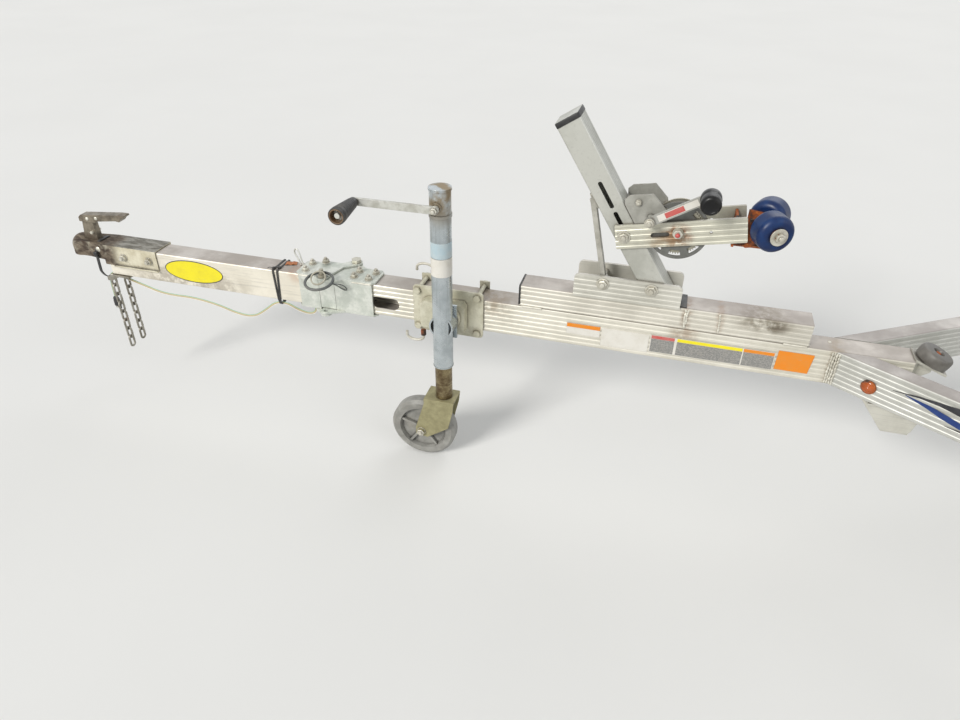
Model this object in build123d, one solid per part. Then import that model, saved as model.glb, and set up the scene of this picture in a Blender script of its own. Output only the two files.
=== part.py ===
from build123d import *
from math import acos, atan2, cos, degrees, hypot, pi, radians, sin, tan
import os

# Lengths are in millimetres.
# While it is modelled, X runs rearwards from the centre of the hitch ball, Y to the trailer's right,
# and Z up from the top face of the tongue.
# place() then stands the trailer on the floor, with its middle over the origin.

# Running clearances
SEAT = 0.3
SLIDE_GAP = 0.4

# Tongue: a smooth front tube and a ribbed rear tube
TONGUE_W = 76.2
TONGUE_H = 101.6
TONGUE_WALL = 5.0
TONGUE_FRONT_X = 116.0
SPLIT_X = 925.0
SPLIT_GAP = 6.0
TONGUE_REAR_END = 2517.0
HALF_W = TONGUE_W / 2
SLOT_X = 1086.0
SLOT_Z = -58.0
SLOT_LENGTH = 89.0
SLOT_HEIGHT = 38.0

# Ribs of the extruded tubes
GROOVE_PITCH = 14.5
GROOVE_WIDTH = 8.6
GROOVE_FLOOR = 4.6
GROOVE_DEPTH = 1.1

# Riser on the tongue
RISER_X0 = 1495.0
RISER_X1 = 2262.0
RISER_H = 64.0

# Frame rails: two arms that spread from the tongue, then run straight to the back
RAIL_W = 50.8
RAIL_H = 101.6
RAIL_WALL = 5.0
RAIL_START_X = 2332.0
DROP_BRACKET_BACK = 80.0
DROP_BRACKET_H = 88.4
PAD_X = 2566.0
PAD_Z = 4.0
PAD_TILT = 22.0
PAD_R = 43.0
PAD_T = 34.0
RAIL_SPREAD = 32.0
MARKER_X = 2415.0
MARKER_Z = -58.0
MARKER_R = 19.0
MARKER_T = 11.0
RAIL_BEND_R = 220.0
FRAME_HALF_W = 560.0
RAIL_END_X = 4950.0
RAIL_MID_Y = FRAME_HALF_W - RAIL_W / 2

# Crossmembers
CROSS_X = (3290.0, 4020.0, 4890.0)
CROSS_W = 50.8
CROSS_H = 76.2
CROSS_WALL = 4.0

# Jack: a swivel jack on the left side
JACK_X = 1296.0
JACK_Y = -126.0
JACK_Z = -45.0
JACK_TUBE_R = 28.6
JACK_TUBE_WALL = 3.2
JACK_TOP = 399.0
JACK_FOOT = 134.0
JACK_REACH = 323.0
JACK_OUT = 50.0
INNER_END = 197.0
INNER_TOP = 150.0
CRANK_S = 357.0
CRANK_ARM = 215.0
CRANK_Y = -170.0
GRIP_R = 21.0
GRIP_NECK_R = 12.0
GRIP_LENGTH = 104.0
STUB_R = 38.0
STUB_BORE_R = 35.0
STUB_END_Y = -96.0
STUB_ROOT_Y = -80.0

# Caster
CASTER_R = 101.6
CASTER_W = 46.0
CASTER_TRAIL = 65.0
FORK_PLATE = 4.0
FORK_INNER_HALF = 31.0
AXLE_BOLT_R = 8.0

# Height of the tongue's top face over the floor, from the jack that holds it up
Z_TOP = CASTER_R + JACK_REACH + JACK_OUT - JACK_Z
FLOOR = -Z_TOP

# Road wheels
TYRE_R = 260.0
TYRE_W = 122.0
RIM_R = 152.4
RIM_W = 100.0
RIM_PLATE = 5.0
AXLE_X = 3780.0
WHEEL_Y = FRAME_HALF_W + 130
WHEEL_Z = FLOOR + TYRE_R
SPINDLE_R = 16.0
HUB_R = 42.0
RIM_WINDOWS = 5
RIM_WINDOW = (62.0, 30.0)
STUD_CIRCLE = 50.0
STUD_R = 6.5
STUD_TURN = 36.0

# Torsion axle
BEAM = 60.0
BEAM_WALL = 5.0
BEAM_PAST_RAIL = 6.0
HANGER_T = 6.0
HANGER_HALF = 90.0
ARM_ROOT_R = 26.0
ARM_EYE_R = 24.0
ARM_LENGTH = 150.0
ARM_DROP = 57.0
ARM_THICK = 22.0
BEAM_X = AXLE_X - (ARM_LENGTH ** 2 - ARM_DROP ** 2) ** 0.5
BEAM_Z = WHEEL_Z + ARM_DROP

# Mudguards
FENDER_R = 318.0
FENDER_T = 3.0
FENDER_Y0 = FRAME_HALF_W + 30
FENDER_W = 208.0
FENDER_Y1 = FENDER_Y0 + FENDER_W
FENDER_LIP = 42.0

# Bunks
BUNK_W = 98.0
BUNK_T = 44.0
BUNK_Y = 235.0
BUNK_Z = 108.0
BUNK_TILT = 15.0
BUNK_X0 = 3100.0
BUNK_X1 = 4860.0
BRACKET_PLATE = 6.0
BRACKET_W = 60.0

# Tie-down eyes on the last crossmember
EYE_Y = 330.0
EYE_Z = -40.0
EYE_R = 14.0
EYE_T = 8.0
EYE_REACH = 26.0

# Coupler and its latch
BALL_Z = -22.0
SOCKET_R = 25.9
HOUSING_R = 37.0
COUPLER_END_X = 305.0
COUPLER_WALL = 4.0
COUPLER_DEPTH = 64.0
COUPLER_BOLT_X = (181.0, 276.0)
COUPLER_BOLT_Z = -31.0
COUPLER_LIP = 8.0
LEVER_X0 = 30.0
LEVER_X1 = 196.0
LEVER_Z = 96.0

# Fold-away hinge
PIVOT_X = 955.0
PIVOT_Y = 64.0
PIVOT_R = 9.5
PULL_X = 897.0
PULL_Y = -58.0
HINGE_X0 = 800.0
HINGE_X1 = 1058.0
LEAF_T = 6.0
EAR_R = 19.0

# Winch post, arms and bow stop
POST_LEAN = 32.6
POST_W = 63.5
POST_WALL = 4.0
POST_FOOT_X = 1922.0
POST_LENGTH = 547.0
BASE_X0 = 1643.0
BASE_X1 = 1927.0
BASE_H = 64.0
BASE_LAP = 3.0
BASE_BOLTS = (77.0, 205.0)
BASE_BOLT_UP = 43.0
PLATE_T = 8.0
BOLT_HEAD_R = 12.0
BOLT_HEAD_T = 7.0
ARM_X0 = 1738.0
ARM_Z0 = 242.0
ARM_SLOPE = 10.8
ARM_REACH = 317.0
ARM_H = 64.0
ARM_BOLT_X = 1759.0
ARM_SLOT_X = 1847.0
ARM_SLOT = (46.0, 13.0)
ARM_HOLE_X = 1967.0
POST_SLOTS = (348.0, 275.0)
POST_SLOT_LENGTH = 76.0
POST_SLOT_W = 11.0
STRUT_TOP_Z = 328.0
STRUT_FOOT = (1720.0, 107.0)
STRUT_T = 13.0
STRUT_Y = (-32.0, -10.0)

# Winch
DRUM_X = 1889.0
DRUM_Z = 276.0
STRAP_R = 46.0
FLANGE_R = 62.0
GEAR_COVER_R = 75.0
DRUM_AXLE_R = 8.0
WINCH_WEB_Z = 331.0
DRUM_TEETH = 61
PINION_TEETH = 15
PRESSURE_ANGLE = 20.0
GEAR_BACKLASH = 0.3
GEAR_T = 4.8
COVER_WINDOWS = 8
COVER_WINDOW_ANGLE = 26.0
COVER_WINDOW_R = (52.0, 67.0)
WINCH_TOP = [(1750, 345), (1762, 356), (1817, 365), (1852, 330)]
CRANK_X = 1818.0
CRANK_Z = 306.0
GEAR_MODULE = 2 * hypot(CRANK_X - DRUM_X, CRANK_Z - DRUM_Z) / (DRUM_TEETH + PINION_TEETH)
WINCH_ARM = 153.0
WINCH_ARM_ANGLE = 31.0
WINCH_ARM_Y = -72.0
KNOB_R = 23.0
KNOB_LENGTH = 58.0

# Bow rollers
ROLLER_PAST_ARM = 54.0
ROLLER_X = ARM_X0 + ARM_REACH * cos(radians(ARM_SLOPE)) + ROLLER_PAST_ARM
ROLLER_Y = 50.0
ROLLER_OVER_ARM = 6.0
ROLLER_Z = ARM_Z0 + ARM_REACH * sin(radians(ARM_SLOPE)) + ROLLER_OVER_ARM
ROLLER_R = 46.0
ROLLER_LENGTH = 62.0
ROLLER_YAW = 22.0
ROLLER_SHAFT_R = 8.0
ROLLER_ROUND = 17.0
ROLLER_WASHER_R = 20.0

# Chains
LINK_WIRE_R = 3.6
LINK_PITCH = 34.0
LINK_W = 26.0
LINKS = 8
CHAIN_X = 100.0
CHAIN_Y = 28.0
CHAIN_TOP = -TONGUE_H - 30.0
ANCHOR_BAR_R = 4.0

# Wiring harness
CORD_R = 4.0
GROMMET_HOLE_R = 9.0
GROMMET_LIP = 3.0
CORD_POINTS = [
    (846.0, -20.0, -101.6),
    (846.0, -20.0, -130.0),
    (824.0, -21.0, -147.0),
    (786.0, -25.0, -138.0),
    (748.0, -29.0, -115.0),
    (708.0, -31.0, -117.0),
    (668.0, -34.0, -152.0),
    (622.0, -35.0, -183.0),
    (565.0, -35.0, -181.0),
    (508.0, -34.0, -164.0),
    (449.0, -33.0, -153.0),
    (390.0, -32.0, -149.0),
    (331.0, -31.0, -152.0),
    (273.0, -29.0, -149.0),
    (218.0, -23.0, -138.0),
    (165.0, -12.0, -133.0),
    (118.0, -3.0, -127.0),
    (84.0, 0.0, -117.0),
    (62.0, 1.0, -131.0),
    (58.0, 0.0, -168.0),
    (58.0, 0.0, -214.0),
]
TIE_X = (724.0, 734.0)
TIE_W = 4.5
TIE_T = 1.5
TIE_DROP = 21.4
NECK_DROP = 30.0
NECK_STRAP_X = 79.0
NECK_STRAP_W = 12.0

REAR_X = RAIL_END_X + 42.0
NOSE_X = -HOUSING_R
X_MID = (NOSE_X + REAR_X) / 2


def block(x0, x1, y0, y1, z0, z1):
    """A box between its limits."""
    return Pos((x0 + x1) / 2, (y0 + y1) / 2, (z0 + z1) / 2) * Box(x1 - x0, y1 - y0, z1 - z0)


def rod_x(y, z, x0, x1, radius):
    plane = Plane(origin=(x0, y, z), x_dir=(0, 1, 0), z_dir=(1, 0, 0))
    return extrude(plane * Circle(radius), amount=x1 - x0)


def rod_y(x, z, y0, y1, radius):
    plane = Plane(origin=(x, y1, z), x_dir=(1, 0, 0), z_dir=(0, -1, 0))
    return extrude(plane * Circle(radius), amount=y1 - y0)


def rod_z(x, y, z0, z1, radius):
    return extrude(Pos(x, y, z0) * Circle(radius), amount=z1 - z0)


def side_plate(points, y0, y1):
    """A plate with its outline in X and Z, from y0 to y1."""
    face = make_face(Polyline(*points, close=True))
    return extrude(Plane(origin=(0, y1, 0), x_dir=(1, 0, 0), z_dir=(0, -1, 0)) * face, amount=y1 - y0)


def flat_plate(points, z0, z1):
    """A plate with its outline in X and Y, from z0 to z1."""
    return extrude(Pos(0, 0, z0) * make_face(Polyline(*points, close=True)), amount=z1 - z0)


def cross_plate(points, x0, x1):
    """A plate with its outline in Y and Z, from x0 to x1."""
    face = make_face(Polyline(*points, close=True))
    return extrude(Plane(origin=(x0, 0, 0), x_dir=(0, 1, 0), z_dir=(1, 0, 0)) * face, amount=x1 - x0)


def rounded_side_plate(x, z, width, height, radius, y0, y1, tilt=0.0):
    """A plate with round corners in X and Z, turned by tilt about its middle."""
    face = Rot(0, 0, tilt) * RectangleRounded(width, height, radius)
    return extrude(Plane(origin=(x, y1, z), x_dir=(1, 0, 0), z_dir=(0, -1, 0)) * face, amount=y1 - y0)


def both_sides(shape):
    return [shape, mirror(shape, about=Plane.XZ)]


def groove(across):
    """A flute's outline with sloped flanks, centred on a wall's face; across is its depth direction."""
    half, floor, depth = GROOVE_WIDTH / 2, GROOVE_FLOOR / 2, GROOVE_DEPTH
    points = [(-depth, -floor), (0, -half), (depth, -floor), (depth, floor), (0, half), (-depth, floor)]
    if across == "y":
        points = [(v, u) for u, v in points]
    return make_face(Polyline(*points, close=True))


def ribbed_section(width, height, wall, grooves, ribbed=True):
    """A box section with flutes along both of its upright sides."""
    section = RectangleRounded(width, height, 5.0)
    section -= RectangleRounded(width - 2 * wall, height - 2 * wall, 2.5)
    if ribbed:
        for index in range(grooves):
            level = (index - (grooves - 1) / 2) * GROOVE_PITCH
            for side in (-1, 1):
                section -= Pos(side * width / 2, level) * groove("x")
    return section


def beam_x(section, x0, x1, z_mid):
    return extrude(Plane(origin=(x0, 0, z_mid), x_dir=(0, 1, 0), z_dir=(1, 0, 0)) * section, amount=x1 - x0)


def tongue_rear():
    section = ribbed_section(TONGUE_W, TONGUE_H, TONGUE_WALL, 6)
    tube = beam_x(section, SPLIT_X + SPLIT_GAP / 2, TONGUE_REAR_END, -TONGUE_H / 2)
    slot = Pos(SLOT_X, -HALF_W, SLOT_Z) * Rot(90, 0, 0) * extrude(
        SlotOverall(SLOT_LENGTH, SLOT_HEIGHT), amount=2 * TONGUE_WALL, both=True)
    return tube - slot


def tongue_front():
    section = ribbed_section(TONGUE_W, TONGUE_H, TONGUE_WALL, 0, ribbed=False)
    tube = beam_x(section, TONGUE_FRONT_X, SPLIT_X - SPLIT_GAP / 2, -TONGUE_H / 2)
    x, y, _ = CORD_POINTS[0]
    return tube - rod_z(x, y, -TONGUE_H - 1, -TONGUE_H + TONGUE_WALL + 1, GROMMET_HOLE_R)


def riser():
    return beam_x(ribbed_section(TONGUE_W, RISER_H, TONGUE_WALL, 4), RISER_X0, RISER_X1, RISER_H / 2)


def rail():
    """The left rail, mitred against the tongue's side."""
    along = (cos(radians(RAIL_SPREAD)), -sin(radians(RAIL_SPREAD)))
    inward = (sin(radians(RAIL_SPREAD)), cos(radians(RAIL_SPREAD)))
    edge = (RAIL_START_X + inward[0] * RAIL_W / 2, -HALF_W + inward[1] * RAIL_W / 2)
    start = (edge[0] - 45 * along[0], edge[1] - 45 * along[1])
    reach = (RAIL_MID_Y + start[1]) / along[1]
    corner = (start[0] - reach * along[0], -RAIL_MID_Y)
    path = FilletPolyline((start[0], start[1], -RAIL_H / 2), (corner[0], corner[1], -RAIL_H / 2),
                          (RAIL_END_X, -RAIL_MID_Y, -RAIL_H / 2), radius=RAIL_BEND_R)
    plane = Plane(origin=path @ 0, x_dir=(inward[0], inward[1], 0), z_dir=(along[0], along[1], 0))
    body = sweep(plane * ribbed_section(RAIL_W, RAIL_H, RAIL_WALL, 6), path=path)
    return body - block(RAIL_START_X - 200, RAIL_START_X + 300, -HALF_W, 200, -RAIL_H - 10, 10)


def crossmembers():
    inner = FRAME_HALF_W - RAIL_W
    section = RectangleRounded(CROSS_W, CROSS_H, 4) - RectangleRounded(CROSS_W - 2 * CROSS_WALL,
                                                                     CROSS_H - 2 * CROSS_WALL, 2)
    return [extrude(Plane(origin=(x, inner, -CROSS_H / 2 - 6), x_dir=(1, 0, 0), z_dir=(0, -1, 0)) * section,
                    amount=2 * inner) for x in CROSS_X]


def axle_beam():
    """The torsion beam with the hanger bracket that carries it under each rail."""
    top = BEAM_Z + BEAM / 2
    tube = RectangleRounded(BEAM, BEAM, 6) - RectangleRounded(BEAM - 2 * BEAM_WALL, BEAM - 2 * BEAM_WALL, 3)
    half = FRAME_HALF_W + BEAM_PAST_RAIL
    end = Plane(origin=(BEAM_X, half, BEAM_Z), x_dir=(1, 0, 0), z_dir=(0, -1, 0))
    solids = extrude(end * tube, amount=2 * half)
    for side in (-1, 1):
        y_mid = side * RAIL_MID_Y
        seat = -RAIL_H - HANGER_T
        cap = block(BEAM_X - HANGER_HALF, BEAM_X + HANGER_HALF, y_mid - RAIL_W / 2, y_mid + RAIL_W / 2,
                    seat, -RAIL_H)
        for edge in (-1, 1):
            y = y_mid + edge * (RAIL_W - HANGER_T) / 2
            outline = [(BEAM_X - HANGER_HALF, seat), (BEAM_X + HANGER_HALF, seat),
                       (BEAM_X + BEAM / 2 + 4, top), (BEAM_X - BEAM / 2 - 4, top)]
            cap += side_plate(outline, y - HANGER_T / 2, y + HANGER_T / 2)
        solids += cap
    return solids


def axle_arms():
    arms = []
    for side in (-1, 1):
        y0 = FRAME_HALF_W + BEAM_PAST_RAIL + SEAT
        low, high = sorted((side * y0, side * (y0 + ARM_THICK)))
        pivot = rod_y(BEAM_X, BEAM_Z, low, high, ARM_ROOT_R)
        eye = rod_y(AXLE_X, WHEEL_Z, low, high, ARM_EYE_R)
        angle = atan2(WHEEL_Z - BEAM_Z, AXLE_X - BEAM_X)
        outline = []
        for x, z, reach in ((BEAM_X, BEAM_Z, ARM_ROOT_R - 2), (AXLE_X, WHEEL_Z, ARM_EYE_R - 4),
                            (AXLE_X, WHEEL_Z, 4 - ARM_EYE_R), (BEAM_X, BEAM_Z, 2 - ARM_ROOT_R)):
            outline.append((x - reach * sin(angle), z + reach * cos(angle)))
        low_s, high_s = sorted((side * (y0 + ARM_THICK - 2), side * (WHEEL_Y + 18)))
        low_b, high_b = sorted((side * (y0 - 32), side * (y0 + 2)))
        spindle = rod_y(AXLE_X, WHEEL_Z, low_s, high_s, SPINDLE_R)
        arm = pivot + eye + side_plate(outline, low, high) + spindle
        arms.append(arm + rod_y(BEAM_X, BEAM_Z, low_b, high_b, 20))
    return arms


def tyre():
    """The tyre about the Y axis, centred on the origin."""
    half = TYRE_W / 2
    bead = RIM_W / 2
    with BuildSketch(Plane.YZ) as profile:
        with BuildLine():
            inner = Line((-bead, RIM_R + SEAT), (bead, RIM_R + SEAT))
            up = Line(inner @ 1, (bead, RIM_R + 12))
            side = ThreePointArc(up @ 1, (half, (RIM_R + TYRE_R) / 2), (half - 8, TYRE_R - 16))
            shoulder = ThreePointArc(side @ 1, (half - 13, TYRE_R - 7), (half - 22, TYRE_R - 3))
            crown = ThreePointArc(shoulder @ 1, (0, TYRE_R), (-half + 22, TYRE_R - 3))
            shoulder_b = ThreePointArc(crown @ 1, (-half + 13, TYRE_R - 7), (-half + 8, TYRE_R - 16))
            side_b = ThreePointArc(shoulder_b @ 1, (-half, (RIM_R + TYRE_R) / 2), (-bead, RIM_R + 12))
            Line(side_b @ 1, inner @ 0)
        make_face()
    return revolve(profile.sketch, axis=Axis.Y)


def ring_y(points):
    """A turned piece about the Y axis from its outline in Y and radius."""
    return revolve(Plane.YZ * make_face(Polyline(*points, close=True)), axis=Axis.Y)


def rim():
    """The wheel disc and barrel about the Y axis. Its outer face looks to -Y."""
    half = RIM_W / 2 + SEAT
    lip = half + 4
    barrel = ring_y([(-lip, RIM_R + 10), (-lip, RIM_R - 6), (-24, RIM_R - 16), (24, RIM_R - 16),
                     (lip, RIM_R - 6), (lip, RIM_R + 10), (half, RIM_R + 10), (half, RIM_R - 1),
                     (24, RIM_R - 11), (-24, RIM_R - 11), (-half, RIM_R - 1), (-half, RIM_R + 10)])
    inside = [(-14, HUB_R - 8), (-14, 66), (-32, 96), (-32, 112), (-18, RIM_R - 15)]
    outside = [(-18, RIM_R - 15), (-32, 110), (-32, 98), (-14, 68), (-14, HUB_R - 8)]
    disc = ring_y(inside + [(y + RIM_PLATE, radius) for y, radius in outside])
    for index in range(RIM_WINDOWS):
        turn = index * 360 / RIM_WINDOWS
        window = extrude(SlotOverall(*RIM_WINDOW), amount=40, both=True)
        disc -= Rot(0, turn, 0) * Pos(0, -20, 106) * Rot(90, 0, 0) * window
        angle = radians(turn + STUD_TURN)
        disc -= rod_y(STUD_CIRCLE * sin(angle), STUD_CIRCLE * cos(angle), -30, 0, STUD_R + SEAT)
    return barrel + disc


def hub():
    """The hub about the Y axis, with its flange behind the wheel disc and its cap outside."""
    bore = SPINDLE_R + SEAT
    body = ring_y([(45, bore), (45, HUB_R - 8), (-6, HUB_R - 8), (-6, 66), (-8.7, 66), (-8.7, HUB_R - 8.5),
                   (-42, HUB_R - 8.5), (-60, 26), (-63, 0), (-20, 0), (-20, bore)])
    for index in range(RIM_WINDOWS):
        angle = radians(STUD_TURN + index * 360 / RIM_WINDOWS)
        body += rod_y(STUD_CIRCLE * sin(angle), STUD_CIRCLE * cos(angle), -28, -7, STUD_R)
    return body


def fender():
    """The left mudguard with its two stays to the rail."""
    sweep_angle = 176.0
    outer = Circle(FENDER_R + FENDER_T)
    ring = outer - Circle(FENDER_R)
    lip_ring = outer - Circle(FENDER_R - FENDER_LIP)
    cutter = Pos(0, -FENDER_R) * Rectangle(3 * FENDER_R, 2 * FENDER_R - 60)
    upper = ring - cutter
    skirt = lip_ring - cutter
    plane = Plane(origin=(AXLE_X, -FENDER_Y0, WHEEL_Z), x_dir=(1, 0, 0), z_dir=(0, -1, 0))
    outside = Plane(origin=(AXLE_X, -FENDER_Y1 + FENDER_T, WHEEL_Z), x_dir=(1, 0, 0), z_dir=(0, -1, 0))
    guard = extrude(plane * upper, amount=FENDER_Y1 - FENDER_Y0) + extrude(outside * skirt, amount=FENDER_T)
    for offset in (-190, 190):
        level = WHEEL_Z + (FENDER_R ** 2 - offset ** 2) ** 0.5
        x = AXLE_X + offset
        guard += block(x - 25, x + 25, -FENDER_Y0 - 30, -FRAME_HALF_W, -30, -24)
        guard += block(x - 25, x + 25, -FENDER_Y0 - 3, -FENDER_Y0, -30, level + 2) if level > -24 else \
            block(x - 25, x + 25, -FENDER_Y0 - 3, -FENDER_Y0, level - 2, -24)
        guard += block(x - 25, x + 25, -FRAME_HALF_W - 5, -FRAME_HALF_W, -75, -24)
    return guard


def bunk_line(y):
    """Height of a bunk's underside at a distance from the middle of the trailer."""
    return BUNK_Z + (y - BUNK_Y) * tan(radians(BUNK_TILT))


def bunk():
    """The left carpeted board, tilted to meet the hull."""
    lean = radians(BUNK_TILT)
    half = BUNK_W / 2 * cos(lean)
    rise = BUNK_T / cos(lean)
    outer = bunk_line(BUNK_Y + half)
    inner = bunk_line(BUNK_Y - half)
    section = [(-BUNK_Y - half, outer), (-BUNK_Y + half, inner), (-BUNK_Y + half, inner + rise),
               (-BUNK_Y - half, outer + rise)]
    board = cross_plate(section, BUNK_X0, BUNK_X1)
    return fillet(board.edges().filter_by(Axis.X), 8)


def bunk_brackets():
    """An angle bracket on each crossmember that a bunk crosses, left side first."""
    brackets = []
    lean = tan(radians(BUNK_TILT))
    for x in CROSS_X:
        rear = x + CROSS_W / 2 if x < CROSS_X[-1] else x - CROSS_W / 2 - BRACKET_PLATE
        y0 = BUNK_Y - BRACKET_W / 2
        y1 = BUNK_Y + BRACKET_W / 2
        foot = -CROSS_H + 8
        upright = cross_plate([(-y1, foot), (-y0, foot), (-y0, bunk_line(y0)), (-y1, bunk_line(y1))],
                              rear, rear + BRACKET_PLATE)
        shelf_x = (rear, rear + 70) if x < CROSS_X[-1] else (rear - 64, rear + BRACKET_PLATE)
        w0 = BUNK_Y - 45
        w1 = BUNK_Y + 45
        shelf = cross_plate([(-w1, bunk_line(w1)), (-w0, bunk_line(w0)), (-w0, bunk_line(w0) - 6),
                             (-w1, bunk_line(w1) - 6)], *shelf_x)
        brackets += both_sides(upright + shelf)
    return brackets


def coupler():
    """Pressed coupler: a channel over the tongue, a tapered neck and the ball housing."""
    out = HALF_W + SEAT + COUPLER_WALL
    top = SEAT + COUPLER_WALL
    channel = block(TONGUE_FRONT_X - 12, COUPLER_END_X, -out, out, -COUPLER_DEPTH, top)
    inner = HALF_W + SEAT
    channel -= block(TONGUE_FRONT_X - 30, COUPLER_END_X + 10, -inner, inner, -COUPLER_DEPTH - 5, SEAT)
    neck_plan = [(0, -HOUSING_R + 3), (42, -HOUSING_R + 3), (TONGUE_FRONT_X - 10, -out),
                 (TONGUE_FRONT_X - 10, out), (42, HOUSING_R - 3), (0, HOUSING_R - 3)]
    neck = flat_plate(neck_plan, BALL_Z - 26, top)
    hollow = [(44, -HOUSING_R + 8), (TONGUE_FRONT_X - 8, -out + 5),
              (TONGUE_FRONT_X - 8, out - 5), (44, HOUSING_R - 8)]
    neck -= flat_plate(hollow, BALL_Z - 40, SEAT)
    housing = rod_z(0, 0, BALL_Z - 26, BALL_Z, HOUSING_R) + Pos(0, 0, BALL_Z) * Sphere(HOUSING_R)
    housing -= block(-60, 60, -60, 60, -120, BALL_Z - 26)
    for side in (-1, 1):
        low, high = sorted((side * (out - 1), side * (out + COUPLER_LIP)))
        channel += block(TONGUE_FRONT_X + 26, COUPLER_END_X, low, high,
                         -COUPLER_DEPTH, -COUPLER_DEPTH + COUPLER_WALL)
    body = channel + neck + housing
    body -= Pos(0, 0, BALL_Z) * Sphere(SOCKET_R)
    body -= rod_z(0, 0, BALL_Z - 60, BALL_Z, SOCKET_R)
    for x in COUPLER_BOLT_X:
        for side in (-1, 1):
            low, high = sorted((side * out, side * (out + 7)))
            body += rod_y(x, COUPLER_BOLT_Z, low, high, 10)
    return body


def coupler_latch():
    """Latch lever on its upright, closed, with its thumb tab turned down behind."""
    upright = side_plate([(18, 0), (70, 0), (66, LEVER_Z - 26), (LEVER_X0 - 2, LEVER_Z - 26)], -11, 11)
    upright -= Pos(0, 0, BALL_Z) * Sphere(HOUSING_R + SEAT)
    upright -= block(0, 200, -40, 40, -20, 2 * SEAT + COUPLER_WALL)
    lever = side_plate([(LEVER_X0 - 9, LEVER_Z - 31), (LEVER_X0 - 9, LEVER_Z - 17), (LEVER_X0, LEVER_Z - 9),
                        (LEVER_X1 - 24, LEVER_Z + 5), (LEVER_X1, LEVER_Z + 5), (LEVER_X1 + 1, LEVER_Z),
                        (LEVER_X1 - 8, LEVER_Z - 3), (LEVER_X1 - 20, LEVER_Z - 17),
                        (LEVER_X1 - 28, LEVER_Z - 16), (LEVER_X1 - 34, LEVER_Z - 15),
                        (LEVER_X0 + 58, LEVER_Z - 25), (LEVER_X0 + 50, LEVER_Z - 31)], -15, 15)
    hollow = side_plate([(LEVER_X0 + 60, LEVER_Z - 40), (LEVER_X0 + 60, LEVER_Z - 9),
                         (LEVER_X1 - 30, LEVER_Z - 1), (LEVER_X1 - 30, LEVER_Z - 40)], -12, 12)
    return upright + lever - hollow


def hinge_plate_outline(front):
    """Outline in X and Y of the leaf's top plate with its ears, front leaf or rear leaf."""
    edge = HALF_W + LEAF_T + SEAT
    if front:
        return [(HINGE_X0, -edge + 10), (HINGE_X0 + 10, -edge), (PULL_X - 22, -edge), (PULL_X - 22, edge),
                (HINGE_X0 + 10, edge), (HINGE_X0, edge - 10)]
    return [(PULL_X + 30, -edge), (HINGE_X1 - 10, -edge), (HINGE_X1, -edge + 10), (HINGE_X1, edge - 10),
            (HINGE_X1 - 10, edge), (PULL_X + 30, edge)]


def ear_strip(level0, level1, upper):
    """The part of a leaf that reaches over the joint to both pins."""
    edge = HALF_W + LEAF_T + SEAT
    if upper:
        plan = [(PULL_X - 40, -edge), (PULL_X, PULL_Y - 16), (PULL_X + 16, PULL_Y - 4), (PULL_X + 20, -30),
                (PIVOT_X - 24, 20), (PIVOT_X + 16, PIVOT_Y - 12), (PIVOT_X, PIVOT_Y + 18),
                (PIVOT_X - 40, edge), (PULL_X - 40, edge)]
    else:
        plan = [(PULL_X + 60, -edge), (PULL_X, PULL_Y - 16), (PULL_X - 16, PULL_Y - 4), (PULL_X - 14, -34),
                (PULL_X + 8, -20), (PULL_X + 8, 26), (PIVOT_X - 20, PIVOT_Y + 8), (PIVOT_X, PIVOT_Y + 18),
                (PIVOT_X + 40, edge), (PULL_X + 60, edge)]
    strip = flat_plate(plan, level0, level1)
    strip += rod_z(PIVOT_X, PIVOT_Y, level0, level1, EAR_R)
    return strip + rod_z(PULL_X, PULL_Y, level0, level1, 16)


def hinge_leaf(front):
    """One half of the fold-away hinge: plates over and under the tongue, joined by its side plates."""
    edge = HALF_W + LEAF_T + SEAT
    inner = HALF_W + SEAT
    low = -TONGUE_H
    lift = LEAF_T + 2 * SEAT
    plan = hinge_plate_outline(front)
    leaf = flat_plate(plan, SEAT, SEAT + LEAF_T)
    leaf += flat_plate(plan, low - SEAT - LEAF_T, low - SEAT)
    x0, x1 = (HINGE_X0 + 10, PULL_X - 22) if front else (PULL_X + 30, HINGE_X1 - 10)
    for side in (-1, 1):
        y0, y1 = sorted((side * inner, side * edge))
        leaf += block(x0, x1, y0, y1, low - SEAT, SEAT)
    if front:
        leaf += ear_strip(SEAT + lift, SEAT + lift + LEAF_T, True)
        leaf += ear_strip(low - SEAT - lift - LEAF_T, low - SEAT - lift, True)
        leaf += block(PULL_X - 40, PULL_X - 22, -edge, edge, SEAT, SEAT + lift + LEAF_T)
        leaf += block(PULL_X - 40, PULL_X - 22, -edge, edge, low - SEAT - lift - LEAF_T, low - SEAT)
        leaf -= rod_z(CORD_POINTS[0][0], CORD_POINTS[0][1], low - 20, low + 2, 12.5)
    else:
        leaf += ear_strip(SEAT, SEAT + LEAF_T, False)
        leaf += ear_strip(low - SEAT - LEAF_T, low - SEAT, False)
    leaf -= rod_z(PIVOT_X, PIVOT_Y, low - 60, 60, PIVOT_R + SEAT)
    return leaf - rod_z(PULL_X, PULL_Y, low - 60, 60, 7)


def hinge_pivot_pin():
    low = -TONGUE_H - SEAT - 2 * LEAF_T - 2 * SEAT
    high = SEAT + 2 * LEAF_T + 2 * SEAT
    pin = rod_z(PIVOT_X, PIVOT_Y, low - 12, high + 2, PIVOT_R)
    head = Pos(PIVOT_X, PIVOT_Y, high + SEAT) * extrude(RegularPolygon(16, 6), amount=10)
    nut = Pos(PIVOT_X, PIVOT_Y, low - SEAT - 11) * extrude(RegularPolygon(16, 6), amount=11)
    return pin + head + nut


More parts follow.
